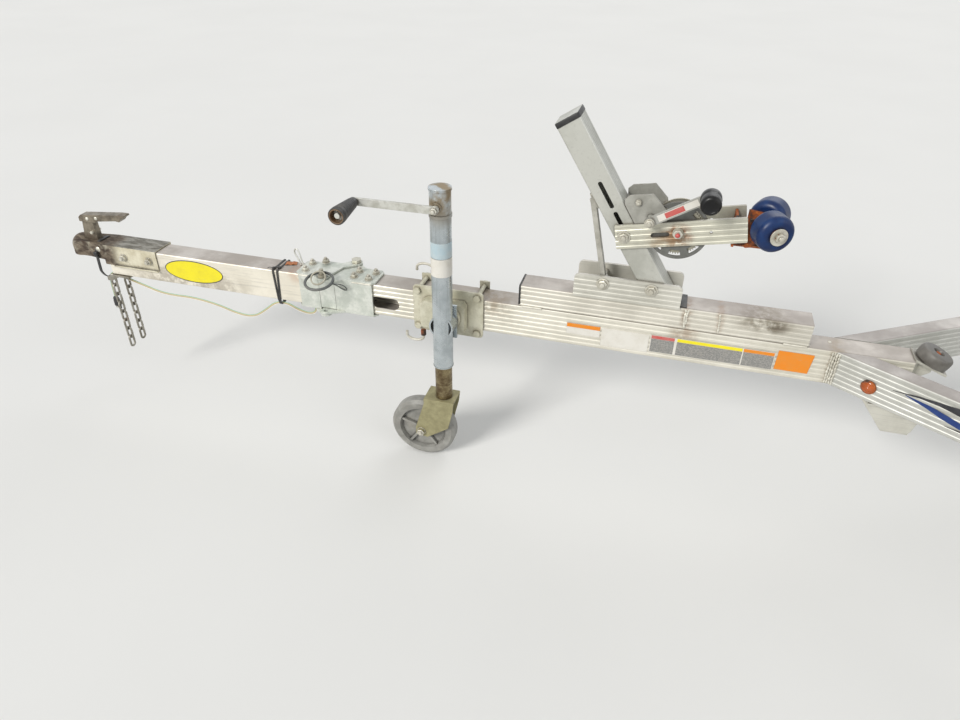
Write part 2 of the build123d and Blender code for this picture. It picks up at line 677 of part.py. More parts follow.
def hinge_pull_pin():
    """Pull pin with its flat ring. Its shank ends over the lower ear, so that the tongue can fold."""
    ear = SEAT + LEAF_T + 2 * SEAT + LEAF_T
    shank = rod_z(PULL_X, PULL_Y, ear - LEAF_T + 0.2, ear + 25, 6.4)
    head = rod_z(PULL_X, PULL_Y, ear + SEAT, ear + 8, 12)
    ring = Pos(PULL_X, PULL_Y - 22, ear + 6) * Rot(35, 0, 0) * extrude(Circle(24) - Circle(20), amount=4)
    return shank + head + ring


def jack_mount():
    """Bolt-on bracket of the jack: near plate, standoff, swivel stub and far clamp straps."""
    near = -HALF_W - 6
    plate = rounded_side_plate(JACK_X - 11, JACK_Z - 5, 212, 146, 10, near, -HALF_W - SEAT)
    standoff = side_plate([(JACK_X - 84, -92), (JACK_X - 84, -16), (JACK_X - 70, -6), (JACK_X + 40, -6),
                           (JACK_X + 48, -16), (JACK_X + 48, -92)], STUB_ROOT_Y, near)
    standoff -= side_plate([(JACK_X - 78, -100), (JACK_X - 78, -18), (JACK_X - 66, -12), (JACK_X + 36, -12),
                            (JACK_X + 42, -18), (JACK_X + 42, -100)], STUB_ROOT_Y + 5, near - 0.01)
    stub = rod_y(JACK_X, JACK_Z, STUB_END_Y, STUB_ROOT_Y, STUB_R)
    body = plate + standoff + stub
    body -= rod_y(JACK_X, JACK_Z, STUB_END_Y - 1, STUB_ROOT_Y + 26, STUB_BORE_R)
    bolt_levels = (7.5, -TONGUE_H - 7.5)
    for x in (JACK_X - 103, JACK_X + 77):
        body += block(x - 15, x + 15, HALF_W + SEAT, HALF_W + 6, -TONGUE_H - 20, 20)
        for z in bolt_levels:
            body += rod_y(x, z, near - 4, HALF_W + 16, 6)
            body += Pos(x, near, z) * Rot(90, 0, 0) * extrude(RegularPolygon(11, 6), amount=8)
            body += Pos(x, HALF_W + 6, z) * Rot(-90, 0, 0) * extrude(RegularPolygon(11, 6), amount=8)
    return body


def jack_outer():
    """Outer tube with its end cap, crank boss and swivel sleeve."""
    tube = rod_z(JACK_X, JACK_Y, JACK_Z - JACK_FOOT, JACK_Z + JACK_TOP, JACK_TUBE_R)
    tube += rod_z(JACK_X, JACK_Y, JACK_Z + CRANK_S - 32, JACK_Z + CRANK_S - 24, JACK_TUBE_R + 2)
    tube += rod_z(JACK_X, JACK_Y, JACK_Z + JACK_TOP - 3, JACK_Z + JACK_TOP + 3, JACK_TUBE_R + 1.5)
    tube += rod_y(JACK_X, JACK_Z, -JACK_TUBE_R + JACK_Y + 10, -54, STUB_BORE_R - SEAT) - \
        rod_y(JACK_X, JACK_Z, -JACK_TUBE_R + JACK_Y, -50, STUB_BORE_R - 5)
    tube += block(JACK_X - 34, JACK_X + 34, STUB_END_Y - 8, STUB_END_Y - SEAT, JACK_Z - 52, JACK_Z + 52)
    tube += rod_y(JACK_X, JACK_Z + CRANK_S, JACK_Y - JACK_TUBE_R - 5, JACK_Y, 13)
    bore = JACK_TUBE_R - JACK_TUBE_WALL
    tube -= rod_z(JACK_X, JACK_Y, JACK_Z - JACK_FOOT - 1, JACK_Z + CRANK_S - 40, bore)
    return tube


def jack_crank():
    """Crank of the jack: cross shaft, flat arm and a flared rubber grip with an open end."""
    y_end = CRANK_Y - 8
    z = JACK_Z + CRANK_S
    shaft = rod_y(JACK_X, z, CRANK_Y, JACK_Y - JACK_TUBE_R - 5 - SEAT, 8)
    arm = rounded_side_plate(JACK_X - CRANK_ARM / 2, z, CRANK_ARM + 22, 20, 9.9, y_end, CRANK_Y)
    pin = rod_y(JACK_X - CRANK_ARM, z, y_end - GRIP_LENGTH + 4, y_end, 7)
    grip = ring_y([(-GRIP_LENGTH, GRIP_R - 4), (-GRIP_LENGTH, GRIP_R), (-GRIP_LENGTH + 12, GRIP_R),
                   (-1, GRIP_NECK_R), (-1, 7 - SEAT), (-GRIP_LENGTH + 20, 7 - SEAT),
                   (-GRIP_LENGTH + 20, GRIP_R - 5)])
    return shaft + arm + pin + Pos(JACK_X - CRANK_ARM, y_end, z) * grip


def jack_inner():
    radius = JACK_TUBE_R - JACK_TUBE_WALL - SLIDE_GAP
    low = JACK_Z - INNER_END - JACK_OUT
    tube = rod_z(JACK_X, JACK_Y, low, JACK_Z + INNER_TOP, radius)
    tube -= rod_z(JACK_X, JACK_Y, low + 6, JACK_Z + INNER_TOP + 1, radius - 3)
    return tube


def fork_local(points):
    """Points in X from the swivel's axis and Z from the jack's pivot, as the fork stands."""
    return [(JACK_X + x, JACK_Z - JACK_OUT + s) for x, s in points]


def caster_fork():
    top = JACK_Z - INNER_END - JACK_OUT - SEAT
    outline = fork_local([(39, -INNER_END - 6), (36, -232), (21, -296), (-46, -343), (-82, -336),
                          (-83, -312), (-54, -216), (-54, -INNER_END - 6)])
    axle_z = JACK_Z - JACK_REACH - JACK_OUT
    half = FORK_INNER_HALF + FORK_PLATE
    body = block(JACK_X - 54, JACK_X + 39, JACK_Y - half, JACK_Y + half, top - 6, top)
    for side in (-1, 1):
        y0, y1 = sorted((JACK_Y + side * FORK_INNER_HALF, JACK_Y + side * half))
        body += side_plate(outline, y0, y1)
    end = half + 9
    body += rod_y(JACK_X - CASTER_TRAIL, axle_z, JACK_Y - end, JACK_Y + end, AXLE_BOLT_R - 1.5)
    for side in (-1, 1):
        y0, y1 = sorted((JACK_Y + side * half, JACK_Y + side * end))
        body += rod_y(JACK_X - CASTER_TRAIL, axle_z, y0, y1, 12)
    return body


def caster_wheel():
    half = CASTER_W / 2
    bore = AXLE_BOLT_R - 1.5 + SEAT
    hub_half = FORK_INNER_HALF - 1
    wheel = ring_y([(-half + 9, CASTER_R), (half - 9, CASTER_R), (half, CASTER_R - 9), (half, 74), (9, 70),
                    (9, 24), (hub_half, 20), (hub_half, bore), (-hub_half, bore), (-hub_half, 20), (-9, 24),
                    (-9, 70), (-half, 74), (-half, CASTER_R - 9)])
    for index in range(5):
        rib = Rot(0, index * 72, 0) * Pos(0, 0, 46) * Box(7, CASTER_W - 8, 58)
        wheel += rib
    wheel -= rod_y(0, 0, -50, 50, bore)
    return Pos(JACK_X - CASTER_TRAIL, JACK_Y, JACK_Z - JACK_REACH - JACK_OUT) * wheel


def winch_post():
    lean = radians(POST_LEAN)
    foot = (POST_FOOT_X, 0, RISER_H - 60)
    axis = (-sin(lean), 0, cos(lean))
    plane = Plane(origin=foot, x_dir=(0, 1, 0), z_dir=axis)
    length = POST_LENGTH + 60 / cos(lean)
    section = RectangleRounded(TONGUE_W, POST_W, 4)
    section -= RectangleRounded(TONGUE_W - 2 * POST_WALL, POST_W - 2 * POST_WALL, 2)
    for index in range(4):
        offset = (index - 1.5) * GROOVE_PITCH
        for side in (-1, 1):
            section -= Pos(offset, side * POST_W / 2) * groove("y")
    post = extrude(plane * section, amount=length)
    top = Plane(origin=plane.origin + Vector(*axis) * length, x_dir=(0, 1, 0), z_dir=axis)
    post += extrude(top * RectangleRounded(TONGUE_W, POST_W, 4), amount=3)
    post -= block(POST_FOOT_X - 300, POST_FOOT_X + 300, -60, 60, -200, RISER_H)
    for z in POST_SLOTS:
        centre = POST_FOOT_X - (z - RISER_H + 60) * tan(lean)
        plane = Plane(origin=(centre, 0, z), x_dir=axis, z_dir=(0, -1, 0))
        post -= extrude(plane * SlotOverall(POST_SLOT_LENGTH, POST_SLOT_W), amount=TONGUE_W, both=True)
    return post


def post_base_plates():
    """Fluted plates on both sides of the post's foot, welded along the riser's top edges."""
    mid_x = (BASE_X0 + BASE_X1) / 2
    length = BASE_X1 - BASE_X0
    low = RISER_H - BASE_LAP
    plate = rounded_side_plate(mid_x, RISER_H - 28, length, BASE_H + 120, 14, -HALF_W - PLATE_T,
                               -HALF_W - SEAT)
    plate -= block(BASE_X0 - 20, BASE_X1 + 20, -90, 0, -200, low)
    for index in range(4):
        z = low + (index + 0.75) * GROOVE_PITCH
        start = Plane(origin=(BASE_X0 - 5, -HALF_W - PLATE_T, z), x_dir=(0, 1, 0), z_dir=(1, 0, 0))
        plate -= extrude(start * groove("x"), amount=length + 10)
    head = extrude(RegularPolygon(BOLT_HEAD_R, 6), amount=BOLT_HEAD_T)
    for x in BASE_BOLTS:
        plate += Pos(BASE_X0 + x, -HALF_W - PLATE_T, RISER_H + BASE_BOLT_UP) * Rot(90, 0, 0) * head
    return both_sides(plate)


def post_strut():
    """Brace from the post's front face down to the base plates' front bolt."""
    lean = radians(POST_LEAN)
    normal = Vector(-cos(lean), 0, -sin(lean))
    face_x = POST_FOOT_X - (STRUT_TOP_Z - RISER_H + 60) * tan(lean) - (POST_W / 2 + SEAT) / cos(lean)
    top = Vector(face_x, 0, STRUT_TOP_Z) + normal * (STRUT_T / 2)
    dx = top.X - STRUT_FOOT[0]
    dz = top.Z - STRUT_FOOT[1]
    bar = rounded_side_plate((top.X + STRUT_FOOT[0]) / 2, (top.Z + STRUT_FOOT[1]) / 2, hypot(dx, dz) + 22,
                             STRUT_T, STRUT_T / 2 - 0.1, *STRUT_Y, tilt=degrees(atan2(dz, dx)))
    mid_y = (STRUT_Y[0] + STRUT_Y[1]) / 2
    tab_plane = Plane(origin=Vector(face_x, mid_y, STRUT_TOP_Z), x_dir=(0, 1, 0), z_dir=normal)
    tab = extrude(tab_plane * RectangleRounded(STRUT_Y[1] - STRUT_Y[0], 44, 6), amount=5)
    head = extrude(tab_plane * RegularPolygon(10, 6), amount=13)
    eye = rod_y(*STRUT_FOOT, *STRUT_Y, 14)
    body = bar + tab + head + eye
    back = Plane(origin=Vector(face_x, 0, STRUT_TOP_Z) - normal * 40, x_dir=(0, 1, 0), z_dir=normal)
    behind = extrude(back * Rectangle(200, 400), amount=40)
    return body - behind + rod_y(*STRUT_FOOT, -HALF_W, HALF_W, 6)


def arm_level(x):
    """Middle height of the winch arms at a given X."""
    return ARM_Z0 + (x - ARM_X0) * tan(radians(ARM_SLOPE))


def winch_arms():
    """Fluted bars on both sides of the post that carry the winch and the bow rollers."""
    mid_x = ARM_X0 + ARM_REACH / 2 * cos(radians(ARM_SLOPE))
    mid_z = arm_level(mid_x)
    plate = rounded_side_plate(mid_x, mid_z, ARM_REACH, ARM_H, 3, -HALF_W - PLATE_T, -HALF_W - SEAT,
                               tilt=ARM_SLOPE)
    along = Vector(cos(radians(ARM_SLOPE)), 0, sin(radians(ARM_SLOPE)))
    up = Vector(-sin(radians(ARM_SLOPE)), 0, cos(radians(ARM_SLOPE)))
    for index in range(4):
        offset = up * ((index - 1.5) * GROOVE_PITCH) - along * ARM_REACH
        origin = Vector(mid_x, -HALF_W - PLATE_T, mid_z) + offset
        start = Plane(origin=origin, x_dir=(0, 1, 0), z_dir=along)
        plate -= extrude(start * groove("x"), amount=2 * ARM_REACH)
    slot = Plane(origin=(ARM_SLOT_X, -HALF_W, arm_level(ARM_SLOT_X)), x_dir=(1, 0, 0), z_dir=(0, -1, 0))
    plate -= extrude(slot * (Rot(0, 0, ARM_SLOPE) * SlotOverall(*ARM_SLOT)), amount=20, both=True)
    plate -= rod_y(ARM_HOLE_X, arm_level(ARM_HOLE_X), -60, -30, 4)
    plate -= rod_y(DRUM_X, DRUM_Z, -60, -30, DRUM_AXLE_R + SEAT)
    head = extrude(RegularPolygon(BOLT_HEAD_R, 6), amount=BOLT_HEAD_T)
    plate += Pos(ARM_BOLT_X, -HALF_W - PLATE_T, arm_level(ARM_BOLT_X)) * Rot(90, 0, 0) * head
    return both_sides(plate)


def post_rear(z):
    """X of the post's rear face at a given height, with the seat gap."""
    lean = radians(POST_LEAN)
    return POST_FOOT_X - (z - RISER_H + 60) * tan(lean) + (POST_W / 2 + SEAT) / cos(lean)


def involute(angle):
    return tan(angle) - angle


def gear_outline(count, phase):
    """Tooth outline of a spur gear about the origin, with its first tooth at the angle phase."""
    pitch = GEAR_MODULE * count / 2
    base = pitch * cos(radians(PRESSURE_ANGLE))
    root = pitch - 1.3 * GEAR_MODULE
    tip = pitch + 0.95 * GEAR_MODULE
    half = pi / (2 * count) - GEAR_BACKLASH / 2 / pitch + involute(radians(PRESSURE_ANGLE))
    low = max(root, base)
    radii = [low, tip] if root >= base else [root, low, tip]
    flank = [(radius, half - involute(acos(min(1.0, base / radius)))) for radius in radii]
    points = []
    for index in range(count):
        middle = phase + 2 * pi * index / count
        for radius, angle in flank:
            points.append((radius * cos(middle - angle), radius * sin(middle - angle)))
        for radius, angle in reversed(flank):
            points.append((radius * cos(middle + angle), radius * sin(middle + angle)))
    return points


def gear(count, phase, centre, y0, y1):
    return side_plate([(centre[0] + x, centre[1] + z) for x, z in gear_outline(count, phase)], y0, y1)


def mesh_angle():
    """Direction from the drum's axis to the crank's."""
    return atan2(CRANK_Z - DRUM_Z, CRANK_X - DRUM_X)


def cover_windows():
    """A ring of windows in the gear's cover, which show the teeth."""
    inner, outer = COVER_WINDOW_R
    plane = Plane(origin=(DRUM_X, -HALF_W + 8, DRUM_Z), x_dir=(1, 0, 0), z_dir=(0, -1, 0))
    half = radians(COVER_WINDOW_ANGLE / 2)
    across = 2 * outer * sin(half)
    down = -2 * outer * cos(half)
    wedge = make_face(Polyline((0, 0), (across, down), (-across, down), close=True))
    window = (Circle(outer) - Circle(inner)) & wedge
    windows = [plane * (Rot(0, 0, 360 * index / COVER_WINDOWS) * window) for index in range(COVER_WINDOWS)]
    return [extrude(face, amount=12) for face in windows]


def winch_frame():
    """Pressed winch frame behind the post: two side plates on the arms and a web against the post."""
    def top_edge(x):
        return arm_level(x) + ARM_H / 2 / cos(radians(ARM_SLOPE)) + SEAT
    low_z = top_edge(1782)
    outline = [(post_rear(low_z), low_z), (post_rear(WINCH_WEB_Z), WINCH_WEB_Z), *WINCH_TOP,
               (WINCH_TOP[-1][0] + 6, top_edge(WINCH_TOP[-1][0] + 6))]
    near = side_plate(outline, -HALF_W - 4, -HALF_W)
    web = side_plate([(post_rear(low_z), low_z), (post_rear(low_z) + 5, low_z),
                      (post_rear(WINCH_WEB_Z) + 5, WINCH_WEB_Z), (post_rear(WINCH_WEB_Z), WINCH_WEB_Z)],
                     -HALF_W, HALF_W)
    cover = rod_y(DRUM_X, DRUM_Z, -HALF_W + SEAT, -HALF_W + SEAT + 4, GEAR_COVER_R)
    boss = rod_y(CRANK_X, CRANK_Z, -HALF_W - 4, -HALF_W + SEAT + 4, 14)
    cover -= cover_windows()
    frame = near + mirror(near, about=Plane.XZ) + web + cover + boss
    frame -= rod_y(CRANK_X, CRANK_Z, -60, 60, 8 + SEAT)
    frame -= rod_y(DRUM_X, DRUM_Z, -60, 60, DRUM_AXLE_R + SEAT)
    return frame


def winch_drum():
    """Drum with its flanges, the big gear and the strap wound on it."""
    half = HALF_W - 10
    bore = DRUM_AXLE_R + SEAT
    drum = ring_y([(-half, bore), (-half, FLANGE_R), (-half + 4, FLANGE_R), (-half + 4, STRAP_R),
                   (half - 4, STRAP_R), (half - 4, FLANGE_R), (half, FLANGE_R), (half, bore)])
    teeth = gear(DRUM_TEETH, mesh_angle() + pi / DRUM_TEETH, (DRUM_X, DRUM_Z), -half - GEAR_T, -half)
    teeth -= rod_y(DRUM_X, DRUM_Z, -60, 60, DRUM_AXLE_R + SEAT)
    return Pos(DRUM_X, 0, DRUM_Z) * drum + teeth


def winch_axle():
    end = HALF_W + PLATE_T
    axle = rod_y(DRUM_X, DRUM_Z, -end - 12, end + 12, DRUM_AXLE_R)
    for side in (-1, 1):
        y0, y1 = sorted((side * (end + SEAT), side * (end + 9)))
        axle += rod_y(DRUM_X, DRUM_Z, y0, y1, 13)
    return axle


def winch_crank():
    turn = radians(WINCH_ARM_ANGLE)
    mid = (CRANK_X + WINCH_ARM / 2 * cos(turn), CRANK_Z + WINCH_ARM / 2 * sin(turn))
    end = (CRANK_X + WINCH_ARM * cos(turn), CRANK_Z + WINCH_ARM * sin(turn))
    shaft = rod_y(CRANK_X, CRANK_Z, WINCH_ARM_Y - 4, HALF_W + 8, 8)
    nut = rod_y(CRANK_X, CRANK_Z, WINCH_ARM_Y - 14, WINCH_ARM_Y, 12)
    arm = rounded_side_plate(*mid, WINCH_ARM + 28, 24, 11.9, WINCH_ARM_Y - 5, WINCH_ARM_Y,
                             tilt=WINCH_ARM_ANGLE)
    knob = rod_y(*end, WINCH_ARM_Y - 8 - KNOB_LENGTH, WINCH_ARM_Y - 8, KNOB_R)
    knob = fillet(knob.edges(), 7)
    stem = rod_y(*end, WINCH_ARM_Y - 10, WINCH_ARM_Y, 7)
    half = HALF_W - 10
    pinion = gear(PINION_TEETH, mesh_angle() + pi, (CRANK_X, CRANK_Z), -half - GEAR_T, -half - 0.5)
    return shaft + nut + arm + stem + knob + pinion


def roller_frame(side):
    """Location of a bow roller, with its local Y axis along its shaft towards the outside."""
    return Pos(ROLLER_X, side * ROLLER_Y, ROLLER_Z) * Rot(0, 0, -side * ROLLER_YAW)


def bow_roller(side):
    half = ROLLER_LENGTH / 2
    bore = ROLLER_SHAFT_R + SEAT
    wheel = ring_y([(-half, bore), (-half, ROLLER_R), (half, ROLLER_R), (half, bore)])
    outer_edges = wheel.edges().filter_by(GeomType.CIRCLE).sort_by(SortBy.RADIUS)[-2:]
    return roller_frame(side) * fillet(outer_edges, ROLLER_ROUND)


def bow_bracket():
    """Bent steel bracket at the arms' ends: web, floor, and an ear inside each roller with its shaft."""
    half = ROLLER_LENGTH / 2
    low = ROLLER_R + 10
    floor = ROLLER_Z - low
    web_x = ARM_X0 + ARM_REACH * cos(radians(ARM_SLOPE)) - 30
    body = block(web_x, ROLLER_X + 16, -30, 30, floor, floor + 5)
    body += block(web_x, web_x + 6, -HALF_W, HALF_W, floor, arm_level(web_x) + 26)
    local = block(-42, 34, -half - 6.5, -half - 1.5, -low, 18)
    local += rod_y(0, 0, -half - 9, half + 5, ROLLER_SHAFT_R)
    local += rod_y(0, 0, half + 1.5, half + 4.5, ROLLER_WASHER_R)
    local += Pos(0, half + 4, 0) * Rot(-90, 0, 0) * extrude(RegularPolygon(11, 6), amount=8)
    right = roller_frame(1) * local
    return body + right + mirror(right, about=Plane.XZ)


def hull_pad():
    """Rubber pad behind the tongue's end, facing the keel."""
    return Pos(PAD_X, 0, PAD_Z) * Rot(0, PAD_TILT, 0) * Cylinder(PAD_R, PAD_T)


def hull_pad_bracket():
    """Seat under the pad, on a leg and brace welded to the tongue's end."""
    tilted = Pos(PAD_X, 0, PAD_Z) * Rot(0, PAD_TILT, 0)
    seat = tilted * Pos(0, 0, -PAD_T / 2 - SEAT - 3) * Box(84, 60, 6)
    leg = block(TONGUE_REAR_END, TONGUE_REAR_END + 6, -30, 30, -90, 6)
    brace = side_plate([(TONGUE_REAR_END + 3, -80), (TONGUE_REAR_END + 53, -40),
                        (TONGUE_REAR_END + 53, -16), (TONGUE_REAR_END + 13, 4),
                        (TONGUE_REAR_END + 3, 0)], -4, 4)
    brace -= tilted * Pos(0, 0, 50 - PAD_T / 2 - SEAT - 3) * Box(200, 60, 100)
    body = seat + leg + brace - tilted * Pos(0, 0, 50 - PAD_T / 2 - SEAT) * Box(200, 90, 100)
    return body - block(TONGUE_REAR_END - 200, TONGUE_REAR_END, -60, 60, -200, 60)


def drop_bracket():
    """Bent plate that hangs under the left rail where it leaves the tongue."""
    x0 = RAIL_START_X + DROP_BRACKET_BACK
    low = -RAIL_H - DROP_BRACKET_H
    plate = side_plate([(x0, -RAIL_H), (x0 + 69, low), (x0 + 132, low), (x0 + 139, low + 12),
                        (x0 + 158, -RAIL_H)], -84, -79)
    foot = block(x0 + 69, x0 + 134, -84, -44, low, low + 5)
    flange = block(x0 + 13, x0 + 88, -100, -60, -RAIL_H - 5, -RAIL_H)
    return plate + foot + flange


def tail_lights():
    lights = []
    for side in (-1, 1):
        y = side * (RAIL_MID_Y + 8)
        box = block(RAIL_END_X + 4, REAR_X, y - 75, y + 75, -88, -8)
        foot = block(RAIL_END_X, RAIL_END_X + 5, y - 30, y + 16, -80, -20)
        lights.append(fillet(box.edges().filter_by(Axis.X), 10) + foot)
    return lights


def side_markers():
    """Round amber marker on the outer face of each rail, near the tongue."""
    y = -HALF_W - (MARKER_X - RAIL_START_X) * tan(radians(RAIL_SPREAD))
    out = (-sin(radians(RAIL_SPREAD)), -cos(radians(RAIL_SPREAD)), 0)
    plane = Plane(origin=(MARKER_X, y, MARKER_Z), x_dir=(0, 0, 1), z_dir=out)
    return both_sides(extrude(plane * Circle(MARKER_R), amount=MARKER_T))


def tie_down_eyes():
    eyes = []
    for side in (-1, 1):
        y = side * EYE_Y
        face = CROSS_X[2] + CROSS_W / 2
        ring = extrude(Circle(EYE_R + EYE_T) - Circle(EYE_R), amount=EYE_T)
        plate = block(face, face + 5, y - 24, y + 24, EYE_Z - 28, EYE_Z + 28)
        eyes.append(Pos(face + EYE_REACH, y, EYE_Z - EYE_T / 2) * ring + plate)
    return eyes


def chain_link():
    path = SlotOverall(LINK_PITCH + 2 * LINK_WIRE_R + 0.2, LINK_W - 2 * LINK_WIRE_R).face().outer_wire()
    start = Plane(origin=path @ 0, z_dir=path % 0)
    return sweep(start * RegularPolygon(LINK_WIRE_R, 6), path=path)


def safety_chains():
    link = chain_link()
    solids = []
    for side in (-1, 1):
        for index in range(LINKS):
            z = CHAIN_TOP - index * LINK_PITCH
            turn = 0 if index % 2 else 90
            solids.append(Pos(CHAIN_X, side * CHAIN_Y, z) * Rot(0, 0, turn) * Rot(0, 90, 0) * link)
    return solids


def chain_anchor():
    """Plate under the tongue with a loop for each chain."""
    plate = block(CHAIN_X + 20, CHAIN_X + 80, -CHAIN_Y - 16, CHAIN_Y + 16, -TONGUE_H - 6, -TONGUE_H)
    bar_z = CHAIN_TOP + LINK_PITCH / 2 - ANCHOR_BAR_R - 0.1
    cheek = [(CHAIN_X - 8, bar_z - 6), (CHAIN_X + 6, bar_z - 8), (CHAIN_X + 40, -TONGUE_H - 6),
             (CHAIN_X + 40, -TONGUE_H), (CHAIN_X + 20, -TONGUE_H), (CHAIN_X - 8, bar_z + 7)]
    for side in (-1, 1):
        for edge in (-1, 1):
            y = side * CHAIN_Y + edge * 13
            plate += side_plate(cheek, y - 2, y + 2)
        plate += rod_y(CHAIN_X, bar_z, side * CHAIN_Y - 14, side * CHAIN_Y + 14, ANCHOR_BAR_R)
    return plate


def cord_radii():
    """The largest bend that each corner of the route allows."""
    points = [Vector(*point) for point in CORD_POINTS]
    radii = []
    for before, here, after in zip(points, points[1:], points[2:]):
        turn = radians((here - before).get_angle(after - here))
        shorter = min((here - before).length, (after - here).length)
        radii.append(0.45 * shorter / tan(turn / 2))
    return radii


def harness():
    path = FilletPolyline(*CORD_POINTS, radius=cord_radii())
    tube = sweep(Plane(origin=path @ 0, z_dir=path % 0) * Circle(CORD_R), path=path)
    fullness = tube.volume / (pi * CORD_R ** 2 * path.length)
    print("cord radii", [round(radius) for radius in cord_radii()])
    print("cord length", round(path.length, 1), "volume over section times length", round(fullness, 4))
    return tube


def harness_plug():
    x, y, z = CORD_POINTS[-1]
    return block(x - 12, x + 12, y - 6, y + 6, z - 46, z)


def harness_grommet():
    x, y, _ = CORD_POINTS[0]
    low = -TONGUE_H - GROMMET_LIP
    top = -TONGUE_H + TONGUE_WALL
    sleeve = rod_z(x, y, low, top, GROMMET_HOLE_R - 0.4)
    lip = rod_z(x, y, low, -TONGUE_H - SEAT, GROMMET_HOLE_R + GROMMET_LIP)
    return sleeve + lip - rod_z(x, y, low - 1, top + 1, CORD_R + 0.2)


def band(x, width, half, top, bottom):
    """A strap round the tongue or neck, with its outline in Y and Z."""
    outer = block(x - width / 2, x + width / 2, -half - TIE_T, half + TIE_T, bottom - TIE_T, top + TIE_T)
    return outer - block(x - width, x + width, -half, half, bottom, top)


def harness_ties():
    """Two cable ties round the tongue and a strap round the coupler's neck, which hold the harness up."""
    ties = [band(x, TIE_W, HALF_W + SEAT, SEAT, -TONGUE_H - TIE_DROP) for x in TIE_X]
    strap = band(NECK_STRAP_X, NECK_STRAP_W, HALF_W + 4, SEAT + COUPLER_WALL + SEAT, -TONGUE_H - NECK_DROP)
    return ties + [strap]


def place(shape):
    return Pos(-X_MID, 0, Z_TOP) * shape


def gather(shapes):
    return Compound(shapes) if isinstance(shapes, list) else shapes


WHEEL_SPOT = Pos(AXLE_X, -WHEEL_Y, WHEEL_Z)


def wheel_piece(shape):
    """A wheel piece on the left and its mirror image on the right."""
    left = WHEEL_SPOT * shape
    return left, mirror(left, about=Plane.XZ)


def build():
    tyres = wheel_piece(tyre())
    rims = wheel_piece(rim())
    hubs = wheel_piece(hub())
    left_rail = rail()
    left_fender = fender()
    left_bunk = bunk()
    return {
        "tongue_rear": tongue_rear(),
        "riser": riser(),
        "rail_left": left_rail,
        "rail_right": mirror(left_rail, about=Plane.XZ),
        "crossmembers": crossmembers(),
        "axle_beam": axle_beam(),
        "axle_arms": axle_arms(),
        "fender_left": left_fender,
        "fender_right": mirror(left_fender, about=Plane.XZ),
        "bunk_left": left_bunk,
        "bunk_right": mirror(left_bunk, about=Plane.XZ),
        "bunk_brackets": bunk_brackets(),
        "hull_pad": hull_pad(),
        "hull_pad_bracket": hull_pad_bracket(),
        "drop_bracket": drop_bracket(),
        "tail_lights": tail_lights(),
        "side_markers": side_markers(),
        "tie_down_eyes": tie_down_eyes(),
        "winch_post": winch_post(),
        "post_base_plates": post_base_plates(),
        "post_strut": post_strut(),
        "winch_arms": winch_arms(),
        "winch_frame": winch_frame(),
        "winch_axle": winch_axle(),
        "bow_bracket": bow_bracket(),
        "jack_mount": jack_mount(),
        "hinge_leaf_rear": hinge_leaf(False),
        "tongue_front": tongue_front(),
        "coupler": coupler(),
        "coupler_latch": coupler_latch(),
        "hinge_leaf_front": hinge_leaf(True),
        "hinge_pivot_pin": hinge_pivot_pin(),
        "hinge_pull_pin": hinge_pull_pin(),
        "chain_anchor": chain_anchor(),
        "safety_chains": safety_chains(),
        "harness": harness(),
        "harness_plug": harness_plug(),
        "harness_grommet": harness_grommet(),
        "harness_ties": harness_ties(),
        "jack_outer": jack_outer(),
        "jack_crank": jack_crank(),
        "jack_inner": jack_inner(),
        "caster_fork": caster_fork(),
        "caster_wheel": caster_wheel(),
        "tyre_left": tyres[0],
        "rim_left": rims[0],
        "hub_left": hubs[0],
        "tyre_right": tyres[1],
        "rim_right": rims[1],
        "hub_right": hubs[1],
        "winch_drum": winch_drum(),
        "winch_crank": winch_crank(),
        "bow_roller_left": bow_roller(-1),
        "bow_roller_right": bow_roller(1),
    }


os.makedirs("parts", exist_ok=True)
for name, shapes in build().items():
    export_step(place(gather(shapes)), f"parts/{name}.step")
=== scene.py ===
import math

import bmesh
import bpy
from mathutils import Matrix, Vector, noise


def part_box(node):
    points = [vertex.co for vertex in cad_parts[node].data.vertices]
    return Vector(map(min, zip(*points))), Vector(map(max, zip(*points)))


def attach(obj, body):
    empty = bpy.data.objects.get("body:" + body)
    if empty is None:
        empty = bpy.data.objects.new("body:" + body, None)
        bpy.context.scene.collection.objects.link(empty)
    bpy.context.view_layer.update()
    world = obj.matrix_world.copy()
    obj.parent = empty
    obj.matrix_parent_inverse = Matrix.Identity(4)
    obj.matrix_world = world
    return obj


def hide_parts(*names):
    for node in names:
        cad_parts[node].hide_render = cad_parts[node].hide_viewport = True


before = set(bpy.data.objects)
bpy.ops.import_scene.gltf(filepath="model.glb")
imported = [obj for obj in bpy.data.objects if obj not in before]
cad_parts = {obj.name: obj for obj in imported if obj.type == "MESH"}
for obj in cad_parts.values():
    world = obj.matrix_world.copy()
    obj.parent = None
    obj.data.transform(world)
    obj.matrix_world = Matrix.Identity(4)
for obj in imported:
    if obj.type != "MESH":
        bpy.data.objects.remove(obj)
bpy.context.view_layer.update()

# Lengths are in metres.
# at() takes a place as the metres behind the hitch ball, to the trailer's right, and over the tongue's top.
X_MID = 2.4775
Z_TOP = 0.5196
ALONG = Vector((1, 0, 0))
ASIDE = Vector((0, 1, 0))
UP = Vector((0, 0, 1))
SIDES = (-1, 1)

